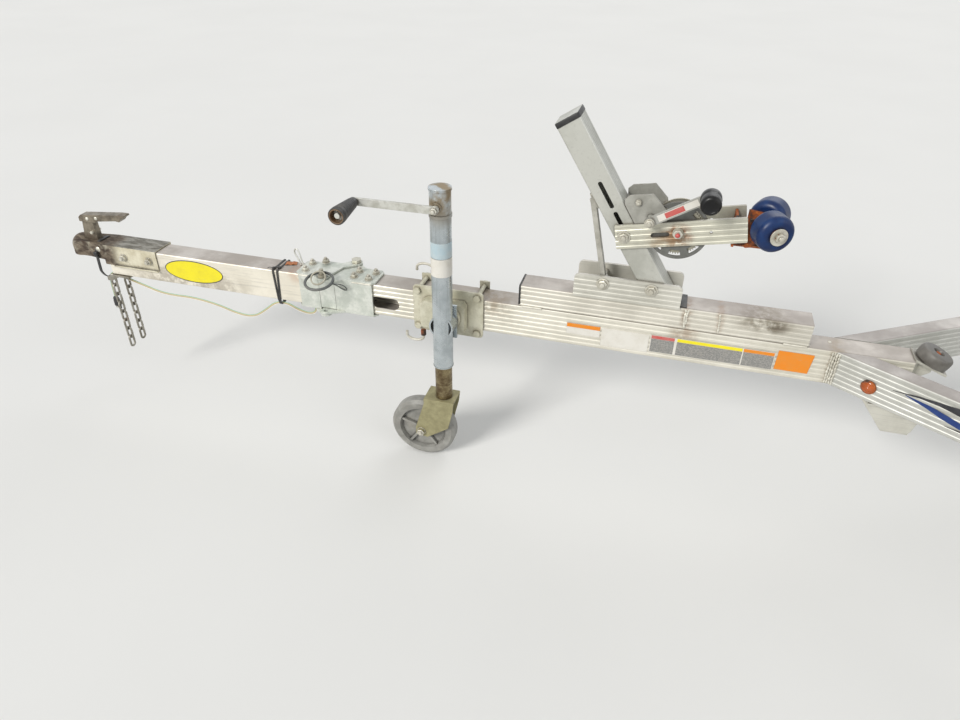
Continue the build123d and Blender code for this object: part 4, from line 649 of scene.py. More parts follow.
class Solid:
    """Collects the vertices and faces of one piece."""

    def __init__(self):
        self.verts = []
        self.faces = []
        self.paint = []

    def loft(self, rings, paint=0, looped=False):
        """Faces between rings of equal counts, each a closed loop of points, with capped ends."""
        count = len(rings[0])
        faces = []
        for i in range(len(rings) if looped else len(rings) - 1):
            j = (i + 1) % len(rings)
            for k in range(count):
                m = (k + 1) % count
                faces.append((i * count + k, i * count + m, j * count + m, j * count + k))
        if not looped:
            faces.append(tuple(range(count)))
            faces.append(tuple((len(rings) - 1) * count + k for k in reversed(range(count))))
        base = len(self.verts)
        self.verts += [point for ring in rings for point in ring]
        self.faces += [tuple(base + i for i in face) for face in faces]
        self.paint += [paint] * len(faces)

    def stack(self, origin, x_dir, y_dir, levels, paint=0, looped=False):
        """Outlines in two directions, each at its level along their normal, joined up."""
        normal = x_dir.cross(y_dir)
        self.loft([spread(origin + normal * level, x_dir, y_dir, outline) for level, outline in levels],
                  paint, looped)

    def turned(self, profile, origin, axis, segments=24, paint=0, looped=False):
        """A profile of (radius, height) turned about an axis."""
        levels = [(height, circle(max(radius, 1e-5), segments)) for radius, height in profile]
        self.stack(Vector(origin), *square_to(axis), levels, paint, looped)

    def plate(self, outline, origin, x_dir, y_dir, depth, edge=0.0, paint=0):
        """An outline in two directions, pushed out along their normal, with its rims eased by edge."""
        levels = [(0, outline), (depth, outline)]
        if edge:
            small = inset(outline, edge)
            levels = [(0, small), (edge, outline), (depth - edge, outline), (depth, small)]
        self.stack(Vector(origin), Vector(x_dir).normalized(), Vector(y_dir).normalized(), levels, paint)

    def sweep(self, path, outline, up=None, side=None, looped=False):
        """An outline carried along a path of points; side, where given, is the outline's first direction."""
        rings = []
        count = len(path)
        for i, point in enumerate(path):
            before = path[i - 1] if i or looped else point
            after = path[(i + 1) % count] if i < count - 1 or looped else point
            tangent = (after - before).normalized()
            if up is not None:
                side = tangent.cross(up).normalized()
            elif side is None:
                side = tangent.orthogonal().normalized()
            else:
                side = (side - tangent * side.dot(tangent)).normalized()
            rings.append(spread(point, side, side.cross(tangent), outline))
        self.loft(rings, looped=looped)

    def piece(self, name, looks, body, replaced=(), smooth=35):
        mesh = bpy.data.meshes.new(name)
        mesh.from_pydata([tuple(v) for v in self.verts], [], self.faces)
        for look in looks.split():
            mesh.materials.append(LOOKS[look])
        for polygon, paint in zip(mesh.polygons, self.paint):
            polygon.material_index = paint
        work = bmesh.new()
        work.from_mesh(mesh)
        bmesh.ops.recalc_face_normals(work, faces=work.faces)
        work.to_mesh(mesh)
        work.free()
        mesh.shade_smooth()
        mesh.set_sharp_from_angle(angle=math.radians(smooth))
        obj = bpy.data.objects.new(name, mesh)
        bpy.context.scene.collection.objects.link(obj)
        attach(obj, body)
        if replaced:
            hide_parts(*replaced)
        return obj


# Fasteners and welds
# The sizes of a nut are its width across the flats, its height, its washer's radius
# and the length of bolt that stands out of it.

HINGE_NUT = (0.017, 0.0085, 0.0125, 0.006)
BRACKET_NUT = (0.014, 0.007, 0.010)
EVEN_WELD = 0.14
ROUGH_WELD = 0.42


def nut(solid, place, axis, across, height, washer=0.0, stub=0.0, washer_t=0.0018, turn=0.3, paint=0):
    """Washer, hexagon nut with eased corners, and the end of its threaded bolt."""
    if washer:
        hole = across * 0.3
        solid.turned([(hole, 0), (washer - 0.0004, 0), (washer, 0.0005), (washer, washer_t - 0.0005),
                      (washer - 0.0005, washer_t), (hole, washer_t)], place, axis, 28, paint)
    corner = across / math.sqrt(3)
    axis = Vector(axis).normalized()
    base = place + axis * (washer_t if washer else 0)
    shape = ((0.93, 0), (1, 0.12), (1, 0.88), (0.9, 1))
    levels = [(height * share, circle(corner * size, 6, turn)) for size, share in shape]
    solid.stack(base, *square_to(axis), levels, paint)
    if stub:
        core = across * 0.29
        threads = max(3, int(stub / 0.0012))
        pitch = stub / threads
        profile = [(core, -0.001)]
        for k in range(threads):
            profile += [(core * 0.88, pitch * (k + 0.25)), (core, pitch * (k + 0.75))]
        solid.turned(profile + [(core * 0.8, stub)], base + axis * height, axis, 16, paint)


def dome(solid, place, axis, radius, height):
    """Round rivet or carriage-bolt head."""
    profile = [(radius, 0)]
    for degrees in range(15, 90, 15):
        a = math.radians(degrees)
        profile.append((radius * math.cos(a), height * math.sin(a)))
    solid.turned(profile + [(radius * 0.04, height)], place, axis, 20)


def pair(make, solid, x, y, z, *sizes, **more):
    """The same fastener on the left and on the right, each facing outwards."""
    for side in SIDES:
        make(solid, at(x, side * y, z), ASIDE * side, *sizes, **more)


def weld_bead(solid, start, end, radius, seed, depth=0.75, lumpy=EVEN_WELD):
    """A rippled bead between two points, more uneven where lumpy is large."""
    length = (end - start).length
    count = max(6, int(length / (radius * 0.35)))
    axis = (end - start).normalized()
    side, other = square_to(axis)
    extra = lumpy - EVEN_WELD
    rings = []
    for i in range(count + 1):
        share = i / count
        along = share * length
        ripple = 1 - lumpy + lumpy * abs(math.sin(along / radius * 1.45))
        ripple += extra * noise.noise(Vector((along * 150, seed, 3)))
        wobble = noise.noise(Vector((along * 60, seed, 0))) * radius * (0.22 + 2 * extra)
        fade = min(1.0, 0.45 + share * count / 3, 0.45 + (1 - share) * count / 3)
        centre = start + axis * along + side * wobble
        rings.append(spread(centre, side, other * depth, circle(radius * ripple * fade, 10)))
    solid.loft(rings)


# Harness

CORD_POINTS = [
    (-1.6315, -0.0200, 0.4180), (-1.6315, -0.0200, 0.3896), (-1.6535, -0.0210, 0.3726),
    (-1.6915, -0.0250, 0.3816), (-1.7295, -0.0290, 0.4046), (-1.7695, -0.0310, 0.4026),
    (-1.8095, -0.0340, 0.3676), (-1.8555, -0.0350, 0.3366), (-1.9125, -0.0350, 0.3386),
    (-1.9695, -0.0340, 0.3556), (-2.0285, -0.0330, 0.3666), (-2.0875, -0.0320, 0.3706),
    (-2.1465, -0.0310, 0.3676), (-2.2045, -0.0290, 0.3706), (-2.2595, -0.0230, 0.3816),
    (-2.3125, -0.0120, 0.3866), (-2.3595, -0.0030, 0.3926), (-2.3935, 0.0000, 0.4026),
    (-2.4155, 0.0010, 0.3886), (-2.4195, 0.0000, 0.3516), (-2.4195, 0.0000, 0.3056),
]
WIRES = "wire_white wire_brown wire_yellow wire_green"
WIRE_R = 0.00105
WIRE_PITCH = 0.0021
FLAT_FACE = Vector((0.40, -0.76, 0.50))
PIN_PITCH = 0.0058


def spline_line(points, resolution=6):
    """The smooth line of a NURBS route with those control points."""
    curve = bpy.data.curves.new("route", "CURVE")
    curve.dimensions = "3D"
    curve.resolution_u = resolution
    spline = curve.splines.new("NURBS")
    spline.points.add(len(points) - 1)
    for point, place in zip(spline.points, points):
        point.co = (*place, 1)
    spline.order_u = 3
    spline.use_endpoint_u = True
    holder = bpy.data.objects.new("route", curve)
    mesh = bpy.data.meshes.new_from_object(holder)
    line = [v.co.copy() for v in mesh.vertices]
    bpy.data.objects.remove(holder)
    bpy.data.curves.remove(curve)
    bpy.data.meshes.remove(mesh)
    return line


def add_harness():
    """Ribbon of four wires with its plug, gently twisted along its way."""
    line = spline_line(CORD_POINTS)
    travelled = 0.0
    frames = []
    for i, point in enumerate(line):
        tangent = (line[min(i + 1, len(line) - 1)] - line[max(i - 1, 0)]).normalized()
        side = tangent.cross(FLAT_FACE).normalized()
        if i:
            travelled += (point - line[i - 1]).length
        twist = math.radians(12 * math.sin(travelled * 9.0))
        across = side * math.cos(twist) + tangent.cross(side) * math.sin(twist)
        frames.append((point, across, tangent.cross(across)))
    ribbon = Solid()
    for index in range(len(WIRES.split())):
        section = [((index - 1.5) * WIRE_PITCH + u, v) for u, v in circle(WIRE_R, 8)]
        ribbon.loft([spread(*place, section) for place in frames], index)
    harness = ribbon.piece("harness_wires", WIRES, "tongue", ("harness",), smooth=60)
    plug = add_plug(line[-1])


def add_plug(place):
    """Flat four-way trailer plug: a moulded body with three pins and one socket."""
    plug = Solid()
    outline = rounded(0.0236, 0.0112, 0.0045)
    body = ((0.0, 0.55), (-0.003, 0.8), (-0.010, 0.98), (-0.0115, 0.9), (-0.0135, 0.9), (-0.015, 1.0),
            (-0.0345, 1.0), (-0.036, 0.96))
    plug.stack(place, ALONG, ASIDE, [(level, scaled(outline, size)) for level, size in body])
    pin = [(0.0027, -0.036), (0.0027, -0.038), (0.0017, -0.0385), (0.0017, -0.0449), (0.001, -0.0457)]
    for index in range(3):
        plug.turned(pin, place + ALONG * (index - 1.5) * PIN_PITCH, UP, 14, 1)
    socket = [(0.0031, -0.036), (0.0031, -0.0452), (0.0026, -0.0457)]
    plug.turned(socket, place + ALONG * 1.5 * PIN_PITCH, UP, 16)
    return plug.piece("harness_plug_body", "black bolts", "tongue", ("harness_plug",))


# Stage

def add_stage():
    """Pale floor, and a studio world that is dimmer as a light than it looks."""
    mesh = bpy.data.meshes.new("floor")
    work = bmesh.new()
    bmesh.ops.create_grid(work, x_segments=2, y_segments=2, size=30)
    work.to_mesh(mesh)
    work.free()
    floor = bpy.data.objects.new("floor", mesh)
    bpy.context.scene.collection.objects.link(floor)
    floor.location.z = -0.0005
    look = Look("floor_paint", Roughness=0.9, Specular_IOR_Level=0.1)
    look.base(look.noise(0.8, 3), 0.3, 0.7, "e6e6e4", "e2e2e0", 0.5)
    mesh.materials.append(look.finish(rounding=0))
    world = bpy.data.worlds.new("studio")
    world.use_nodes = True
    bpy.context.scene.world = world
    nodes, links = world.node_tree.nodes, world.node_tree.links
    nodes.clear()
    rays = nodes.new("ShaderNodeLightPath").outputs
    seen = rays["Is Camera Ray"]
    for kind in ("Is Glossy Ray", "Is Transmission Ray"):
        either = nodes.new("ShaderNodeMath")
        either.operation = "MAXIMUM"
        links.new(seen, either.inputs[0])
        links.new(rays[kind], either.inputs[1])
        seen = either.outputs[0]
    strength = nodes.new("ShaderNodeMapRange")
    strength.inputs["To Min"].default_value = 0.46
    strength.inputs["To Max"].default_value = 0.95
    links.new(seen, strength.inputs["Value"])
    back = nodes.new("ShaderNodeBackground")
    back.inputs["Color"].default_value = (0.97, 0.985, 1.0, 1)
    links.new(strength.outputs["Result"], back.inputs["Strength"])
    out = nodes.new("ShaderNodeOutputWorld")
    links.new(back.outputs[0], out.inputs["Surface"])


def add_lights():
    """Soft lights, each with its direction, its width in degrees, its strength and its tone."""
    for name, towards, width, strength, tone in (
            ("key", (-0.45, -0.78, 0.56), 20, 2.5, (1.0, 0.98, 0.945)),
            ("fill", (0.9, -0.45, 0.6), 40, 0.4, (0.94, 0.97, 1.0)),
            ("back", (0.2, 0.9, 0.7), 40, 0.5, (1, 1, 1))):
        data = bpy.data.lights.new(name, "SUN")
        data.angle = math.radians(width)
        data.energy = strength
        data.color = tone
        lamp = bpy.data.objects.new(name, data)
        bpy.context.scene.collection.objects.link(lamp)
        lamp.rotation_euler = Vector(towards).to_track_quat("Z", "Y").to_euler()


# Coupler, chains and the front of the tongue

def add_front_details():
    bolts = Solid()
    for x in COUPLER_BOLT_X:
        pair(nut, bolts, x, 0.0424, -0.031, 0.019, 0.0085, 0.0125, 0.007, turn=0.2 + x)
    pair(dome, bolts, 0.086, 0.0372, -0.016, 0.0105, 0.006)
    bolts.piece("coupler_bolts", "bolts", "tongue")
    latch = Solid()
    for x, z in ((0.054, 0.0765), (0.089, 0.0815)):
        pair(dome, latch, x, 0.0148, z, 0.0062, 0.0036)
    rivet = [(0.004, -0.0205), (0.0052, -0.02), (0.0052, 0.02), (0.004, 0.0205)]
    latch.turned(rivet, at(0.058, 0, 0.03), ASIDE, 16)
    latch.piece("latch_rivets", "bolts", "tongue")
    decal = Solid()
    for width, height, depth, paint in ((0.210, 0.076, 0.0003, 1), (0.204, 0.070, 0.0005, 0)):
        decal.plate(scaled(circle(1, 48), width / 2, height / 2), at(0.434, SIDE_Y, -0.048), ALONG, UP, depth,
                    0.0001, paint)
    decal.piece("oval_decal", "yellow ink", "tongue")
    tape = Solid()
    path = [at(0.738 + 0.034 * k / 6, 0.012 + 0.012 * k / 6, 0.0006 + 0.0035 * math.sin(k * 1.1) ** 2)
            for k in range(7)]
    tape.sweep(path, rounded(0.021, 0.0008, 0.0003, 2), up=UP)
    tape.piece("tape_scrap", "tape", "tongue")


def add_ties():
    """Two cable ties round the tongue and a rubber strap round the coupler's neck."""
    ties = Solid()
    half = TONGUE_HALF + 0.0012
    section = [(-half, 0.0005), (half, 0.0005), (half + 0.0004, -0.004), (half, -0.098),
               (half - 0.004, -0.104), (-0.016, -0.1195), (-0.026, -0.1225), (-0.034, -0.1185),
               (-half, -0.100), (-half - 0.0004, -0.004)]
    for number, (x, lean) in enumerate(((0.724, -0.005), (0.734, 0.004))):
        band = []
        for (y, z), (next_y, next_z) in zip(section, section[1:] + section[:1]):
            for step in range(4):
                share = step / 4
                level = z + (next_z - z) * share
                band.append(at(x + lean * (0.5 + level / TONGUE_H), y + (next_y - y) * share, level + 0.0006))
        ties.sweep(band, rounded(0.0066, 0.0015, 0.0005, 2), side=ALONG, looped=True)
        head = at(x + lean * 0.5, -0.030 + number * 0.008, 0.0012)
        ties.plate(rounded(0.0098, 0.0086, 0.0014, 2), head, (1, 0.2, 0), (-0.2, 1, 0), 0.0056, 0.0007)
        tail = []
        for k in range(6):
            share = k / 5
            tail.append(head + Vector((-0.001 - 0.012 * share, -0.003 - 0.011 * share,
                                       0.0028 + 0.006 * math.sin(share * 2.4))))
        ties.sweep(tail, rounded(0.0034, 0.001, 0.0003, 2), up=UP)
    strap = []
    for a in turns(56):
        y = (TONGUE_HALF + 0.0055) * max(-1, min(1, 1.12 * math.cos(a)))
        z = -0.0595 + 0.0665 * max(-1, min(1, 1.08 * math.sin(a)))
        strap.append(at(0.079 + 0.004 * math.sin(a + 0.6), y, z))
    ties.sweep(strap, rounded(0.0118, 0.0028, 0.0012, 3), side=ALONG, looped=True)
    knot = at(0.079, -0.0455, -0.03)
    ties.plate(rounded(0.015, 0.018, 0.004, 3), knot, (1, 0, 0.1), (-0.1, 0, 1), 0.006, 0.0015)
    ties.piece("ties_and_strap", "black", "tongue", ("harness_ties",), smooth=50)


def add_chains():
    """Welded chain links, alternately turned, hanging from the loops under the tongue."""
    chains = Solid()
    pitch, width, wire = 0.034, 0.026, 0.0035
    radius = width / 2 - wire
    straight = (pitch + 2 * wire + 0.0002) / 2 - radius
    weld = [(wire * 0.9, -0.0026), (wire * 1.16, -0.0014), (wire * 1.2, 0.0006), (wire * 0.9, 0.0026)]
    for side in SIDES:
        for index in range(LINKS):
            middle = at(CHAIN_X, side * CHAIN_Y, -TONGUE_H - CHAIN_DROP - index * pitch)
            flat = ASIDE if index % 2 else ALONG
            line = []
            for a in turns(32):
                shift = straight if math.sin(a) >= 0 else -straight
                line.append(middle + flat * radius * math.cos(a) + UP * (shift + radius * math.sin(a)))
            chains.sweep(line, circle(wire, 10), looped=True)
            chains.turned(weld, middle + flat * radius, UP, 10)
    chains.piece("chain_links", "chain", "tongue", ("safety_chains",), smooth=60)


# Hinge

def hinge_bolts(solid, places, top, turn):
    """Nuts over the hinge's upper leaf with their bolt heads under the lower one."""
    for x, y in places:
        nut(solid, at(x, y, top), UP, *HINGE_NUT, turn=x * turn)
        dome(solid, at(x, y, -TONGUE_H - top), -UP, 0.0115, 0.005)


def add_hinge_details():
    top, edge = 0.0063, TONGUE_HALF + 0.0063
    front = Solid()
    hinge_bolts(front, ((0.824, 0.027), (0.824, -0.020)), top, 9)
    nut(front, at(0.872, 0.024, 0.0195), UP, *HINGE_NUT, turn=0.9)
    front.piece("hinge_bolts_front", "bolts", "tongue")
    add_lanyard()
    rear = Solid()
    hinge_bolts(rear, ((0.985, 0.018), (0.983, -0.0195), (1.038, 0.020), (1.031, -0.022)), top, 11)
    rear.piece("hinge_bolts_rear", "bolts", "frame")
    for name, body, x0, x1, seed in (("front", "tongue", 0.812, 0.853, 0),
                                     ("rear", "frame", 0.985, 1.047, 3)):
        beads = Solid()
        for side in SIDES:
            weld_bead(beads, at(x0, side * edge, 0.0012), at(x1, side * edge, 0.0012), 0.0024, seed + side)
        beads.piece("hinge_welds_" + name, "weld", body)


def add_lanyard():
    """Ring round the pull pin with a loose wire loop, a spring clip, and the plate between the ears."""
    ring = Solid()
    line = [at(0.902 + 0.041 * math.cos(a), -0.087 + 0.041 * math.sin(a), 0.0140 + 0.008 * math.sin(a))
            for a in turns(56)]
    ring.sweep(line, circle(0.0042, 12), looped=True)
    tail = ((0.940, -0.0950, 0.0150), (0.954, -0.0840, 0.0110), (0.966, -0.0690, 0.0020),
            (0.975, -0.0560, -0.0150), (0.968, -0.0490, -0.0270), (0.954, -0.0480, -0.0250),
            (0.942, -0.0520, -0.0130), (0.934, -0.0680, 0.0000), (0.936, -0.0900, 0.0110))
    ring.sweep(spline_line([at(*place) for place in tail], 5), circle(0.0017, 10))
    ring.piece("pull_pin_ring", "lanyard", "tongue", smooth=60)
    clip = Solid()
    bend = ((0.8010, 0.0120, 0.0010), (0.7930, 0.0150, 0.0240), (0.7870, 0.0185, 0.0420),
            (0.7810, 0.0205, 0.0530), (0.7720, 0.0220, 0.0510), (0.7680, 0.0225, 0.0410),
            (0.7730, 0.0215, 0.0310), (0.7840, 0.0180, 0.0170), (0.7900, 0.0160, 0.0010))
    clip.sweep(spline_line([at(*place) for place in bend]), circle(0.0024, 10))
    clip.piece("spring_clip", "crank", "tongue", smooth=60)
    cover = Solid()
    cover.plate(rounded(0.0510, 0.1010, 0.0015, 3), at(0.9008, -0.0384, -0.0508), ALONG, UP, 0.0058, 0.0008)
    cover.piece("hinge_cover_plate", "hinge", "tongue")


# Jack

def add_jack_details():
    label = Solid()
    middle, wrap, radius, skin = -45, 104, 0.0288, 0.0003
    arc = [math.radians(middle - wrap + 2 * wrap * k / 24) for k in range(25)]
    outline = [((radius + skin) * math.cos(a), (radius + skin) * math.sin(a)) for a in arc]
    outline += [(radius * math.cos(a), radius * math.sin(a)) for a in reversed(arc)]
    for low, high, paint in ((0.160, 0.212, 1), (0.214, 0.258, 0)):
        label.stack(at(JACK_X, JACK_Y, JACK_Z), ALONG, ASIDE, [(low, outline), (high, outline)], paint)
    label.piece("jack_label", "silver white", "jack")
    grip = Solid()
    profile = [(0.0160, -0.0836), (0.0170, -0.1036), (0.0178, -0.1046), (0.0210, -0.1046), (0.0221, -0.1034),
               (0.0226, -0.0985), (0.0217, -0.0970), (0.0217, -0.0950), (0.0226, -0.0938)]
    for k in range(9):
        level = -0.088 + k * 0.0088
        radius = 0.0136 + 0.099 * (-level - 0.001)
        profile += [(radius, level), (radius - 0.0004, level + 0.0052), (radius - 0.0017, level + 0.0058),
                    (radius - 0.0020, level + 0.0078)]
    profile += [(0.0133, -0.008), (0.0130, -0.0012), (0.0122, -0.0006)]
    mouth = [(0.0154, -0.0842), (0.0162, -0.0838), (0.0176, -0.1042), (0.0192, -0.1049), (0.0166, -0.1046)]
    foot = at(JACK_X - JACK_CRANK_ARM, -0.1780, JACK_CRANK_Z)
    grip.turned(profile, foot, ASIDE, 32)
    grip.turned(mouth, foot, ASIDE, 32, 1, looped=True)
    grip.piece("crank_grip", "grip_rubber grip_inside", "jack_handle")
    nuts = Solid()
    nut(nuts, at(JACK_X, -0.1781, JACK_CRANK_Z), -ASIDE, 0.016, 0.007, stub=0.005)
    nuts.piece("crank_nut", "bolts", "jack_handle")
    collars = Solid()
    for level, r in ((0.397, 0.0305), (-0.1335, 0.0293)):
        ring = [(r - 0.0012, -0.0016), (r + 0.0003, -0.0012), (r + 0.0003, 0.0012), (r - 0.0012, 0.0016)]
        collars.turned(ring, at(JACK_X, JACK_Y, JACK_Z + level), UP, 40)
    collars.piece("jack_collars", "tube", "jack")
    pin = Solid()
    collar = [(0.0042, -0.02), (0.0078, -0.019), (0.0078, -0.002), (0.0042, 0)]
    for place, out, length in ((at(1.206, 0.062, 0.012), UP, 0.030), (at(1.215, -0.066, -0.118), -UP, 0.034)):
        line = [place, place + out * length * 0.4]
        for k in range(9):
            a = math.radians(180 * k / 8)
            bow = out * (length * 0.5 + 0.014 * math.sin(a))
            line.append(place + bow + ALONG * 0.026 * (math.cos(a) - 1))
        line.append(place + out * length * 0.15 - ALONG * 0.052)
        pin.sweep(line, circle(0.0042, 10))
        pin.turned(collar, place + out * 0.012, out, 16, 1)
    pin.piece("swivel_lock_pin", "bolts rusty", "frame")
    spring = Solid()
    coil = []
    for k in range(90):
        a = math.radians(k * 20)
        r = 0.006 + 0.020 * k / 90
        coil.append(at(JACK_X + r * math.cos(a), -0.0815, JACK_Z + r * math.sin(a)))
    spring.sweep(coil, rounded(0.0022, 0.0016, 0.0005, 2), up=ASIDE)
    spring.piece("swivel_spring", "bolts", "frame")


def add_caster_details():
    bolt = Solid()
    for side in SIDES:
        place = at(JACK_X - CASTER_TRAIL, JACK_Y + side * 0.0352, JACK_Z - CASTER_DROP)
        nut(bolt, place, ASIDE * side, 0.021, 0.0095, 0.0135, 0.0045, turn=0.5)
    bolt.piece("caster_axle_nuts", "bolts", "caster")
    kingpin = Solid()
    kingpin.turned([(0.0125, -0.0135), (0.016, -0.012), (0.016, -0.0075), (0.006, -0.0065)],
                   at(JACK_X, JACK_Y, JACK_Z - 0.2473), UP)
    kingpin.piece("caster_kingpin", "bolts", "caster")


# Tongue labels, welds and rail stripes

def add_labels():
    label = Solid()

    def band(x0, x1, z0, z1, paint, depth, skew=0.0):
        length, height = x1 - x0, z1 - z0
        outline = [(0, 0), (length - skew, 0), (length, height), (skew * 0.3, height)]
        label.plate(outline, at(x0, SIDE_Y, z0), ALONG, UP, depth, 0.0, paint)

    band(1.634, 1.728, -0.0645, -0.030, 0, 0.0004)
    band(1.6345, 1.7275, -0.0425, -0.0305, 2, 0.0006)
    band(1.732, 1.862, -0.088, -0.032, 0, 0.0004)
    band(1.866, 2.190, -0.084, -0.030, 0, 0.0004)
    for x0, x1, head in ((1.868, 1.930, 3), (1.937, 2.107, 1), (2.110, 2.188, 2)):
        band(x0, x1, -0.0825, -0.0415, 4, 0.0006)
        band(x0, x1, -0.0410, -0.0312, head, 0.0006)
    band(2.194, 2.284, -0.079, -0.021, 2, 0.0009, 0.006)
    label.piece("tongue_labels", "white yellow orange red grey", "frame")
    arm = Solid()
    along = Vector((math.cos(CRANK_TURN), 0, math.sin(CRANK_TURN)))
    across = Vector((-math.sin(CRANK_TURN), 0, math.cos(CRANK_TURN)))
    for start, end, half, paint, depth in ((0.021, 0.124, 0.0085, 0, 0.0003),
                                           (0.040, 0.088, 0.0068, 1, 0.0005)):
        outline = [(start, -half), (end, -half), (end, half), (start, half)]
        arm.plate(outline, at(CRANK_X, -0.0771, CRANK_Z), along, across, depth, 0.0, paint)
    arm.piece("crank_label", "white red", "winch_handle")


def rail_point(distance, z, side, proud=0.0):
    """A place on a rail's outer face, by its distance from the mitre."""
    x = MITRE_X + distance * math.cos(RAIL_SPREAD) - proud * math.sin(RAIL_SPREAD)
    y = TONGUE_HALF + distance * math.sin(RAIL_SPREAD) + proud * math.cos(RAIL_SPREAD)
    return at(x, side * y, z)


# Upper and lower edges of each stripe, as distances from the mitre and heights.
STRIPES = (
    ([(0.152, -0.0390), (0.214, -0.026), (0.256, -0.020), (0.300, -0.015), (0.48, -0.010), (0.78, -0.012)],
     [(0.152, -0.0400), (0.214, -0.031), (0.256, -0.029), (0.300, -0.034), (0.48, -0.032), (0.78, -0.018)]),
    ([(0.181, -0.0370), (0.240, -0.039), (0.285, -0.046), (0.31, -0.051), (0.42, -0.054), (0.80, -0.040)],
     [(0.181, -0.0385), (0.232, -0.049), (0.268, -0.059), (0.31, -0.067), (0.42, -0.068), (0.80, -0.042)]),
    ([(0.281, -0.0735), (0.330, -0.070), (0.46, -0.076), (0.66, -0.068)],
     [(0.281, -0.0742), (0.330, -0.074), (0.46, -0.081), (0.66, -0.069)]),
)


def add_stripes():
    """Tapered stripes on both rails' outer faces."""
    stripes = Solid()
    for side in SIDES:
        for paint, (upper, lower) in enumerate(STRIPES):
            for u0, u1, l0, l1 in zip(upper, upper[1:], lower, lower[1:]):
                quad = (u0, u1, l1, l0)
                rings = [[rail_point(s, z, side, proud) for s, z in quad] for proud in (0.0, 0.0004)]
                stripes.loft(rings, paint)
    stripes.piece("rail_stripes", "ink stripe_blue ink", "frame")


def add_welds():
    beads = Solid()
    out = TONGUE_HALF + 0.0006
    for side in SIDES:
        for along, bead in ((-0.0075, 0.0050), (-0.0015, 0.0054), (0.0045, 0.0056), (0.0100, 0.0046)):
            ends = [rail_point(along, z, side) if along > 0 else at(MITRE_X + along, side * TONGUE_HALF, z)
                    for z in (-0.003, -0.099)]
            weld_bead(beads, *ends, bead, side + along * 900, depth=0.6, lumpy=0.4)
        y = side * (out - 0.001)
        for x, lean, low, bead in ((1.944, 0.003, 0.004, 0.0044), (1.950, -0.001, 0.016, 0.0036),
                                   (2.032, 0.003, 0.006, 0.0034)):
            weld_bead(beads, at(x, y, 0.061), at(x + lean, y, low), bead, x * 90 + side, lumpy=ROUGH_WELD)
        for x, seed in ((1.500, 11), (2.200, 14)):
            start = at(x, side * out, 0.0008)
            weld_bead(beads, start, start + ALONG * 0.060, 0.0028, seed + side)
    for x, seed in ((2.2635, 17), (1.4935, 18)):
        weld_bead(beads, at(x, -0.034, 0.001), at(x, 0.034, 0.001), 0.003, seed)
    for cross_x in CROSS_X:
        for side in SIDES:
            for edge in (-0.0255, 0.0255):
                if cross_x != CROSS_X[-1] or edge < 0:
                    x = cross_x + edge
                    y = side * RAIL_INNER_Y
                    weld_bead(beads, at(x, y, -0.010), at(x, y, -0.078), 0.0035, x)
    dome(beads, at(2.319, 0.007, 0.0), UP, 0.005, 0.0022)
    beads.piece("frame_welds", "weld", "frame")


# Winch and bow stop

def roller_middle(side):
    """Middle of a bow roller, from its node's box."""
    low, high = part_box("bow_roller_left" if side < 0 else "bow_roller_right")
    return (Vector(low) + Vector(high)) / 2


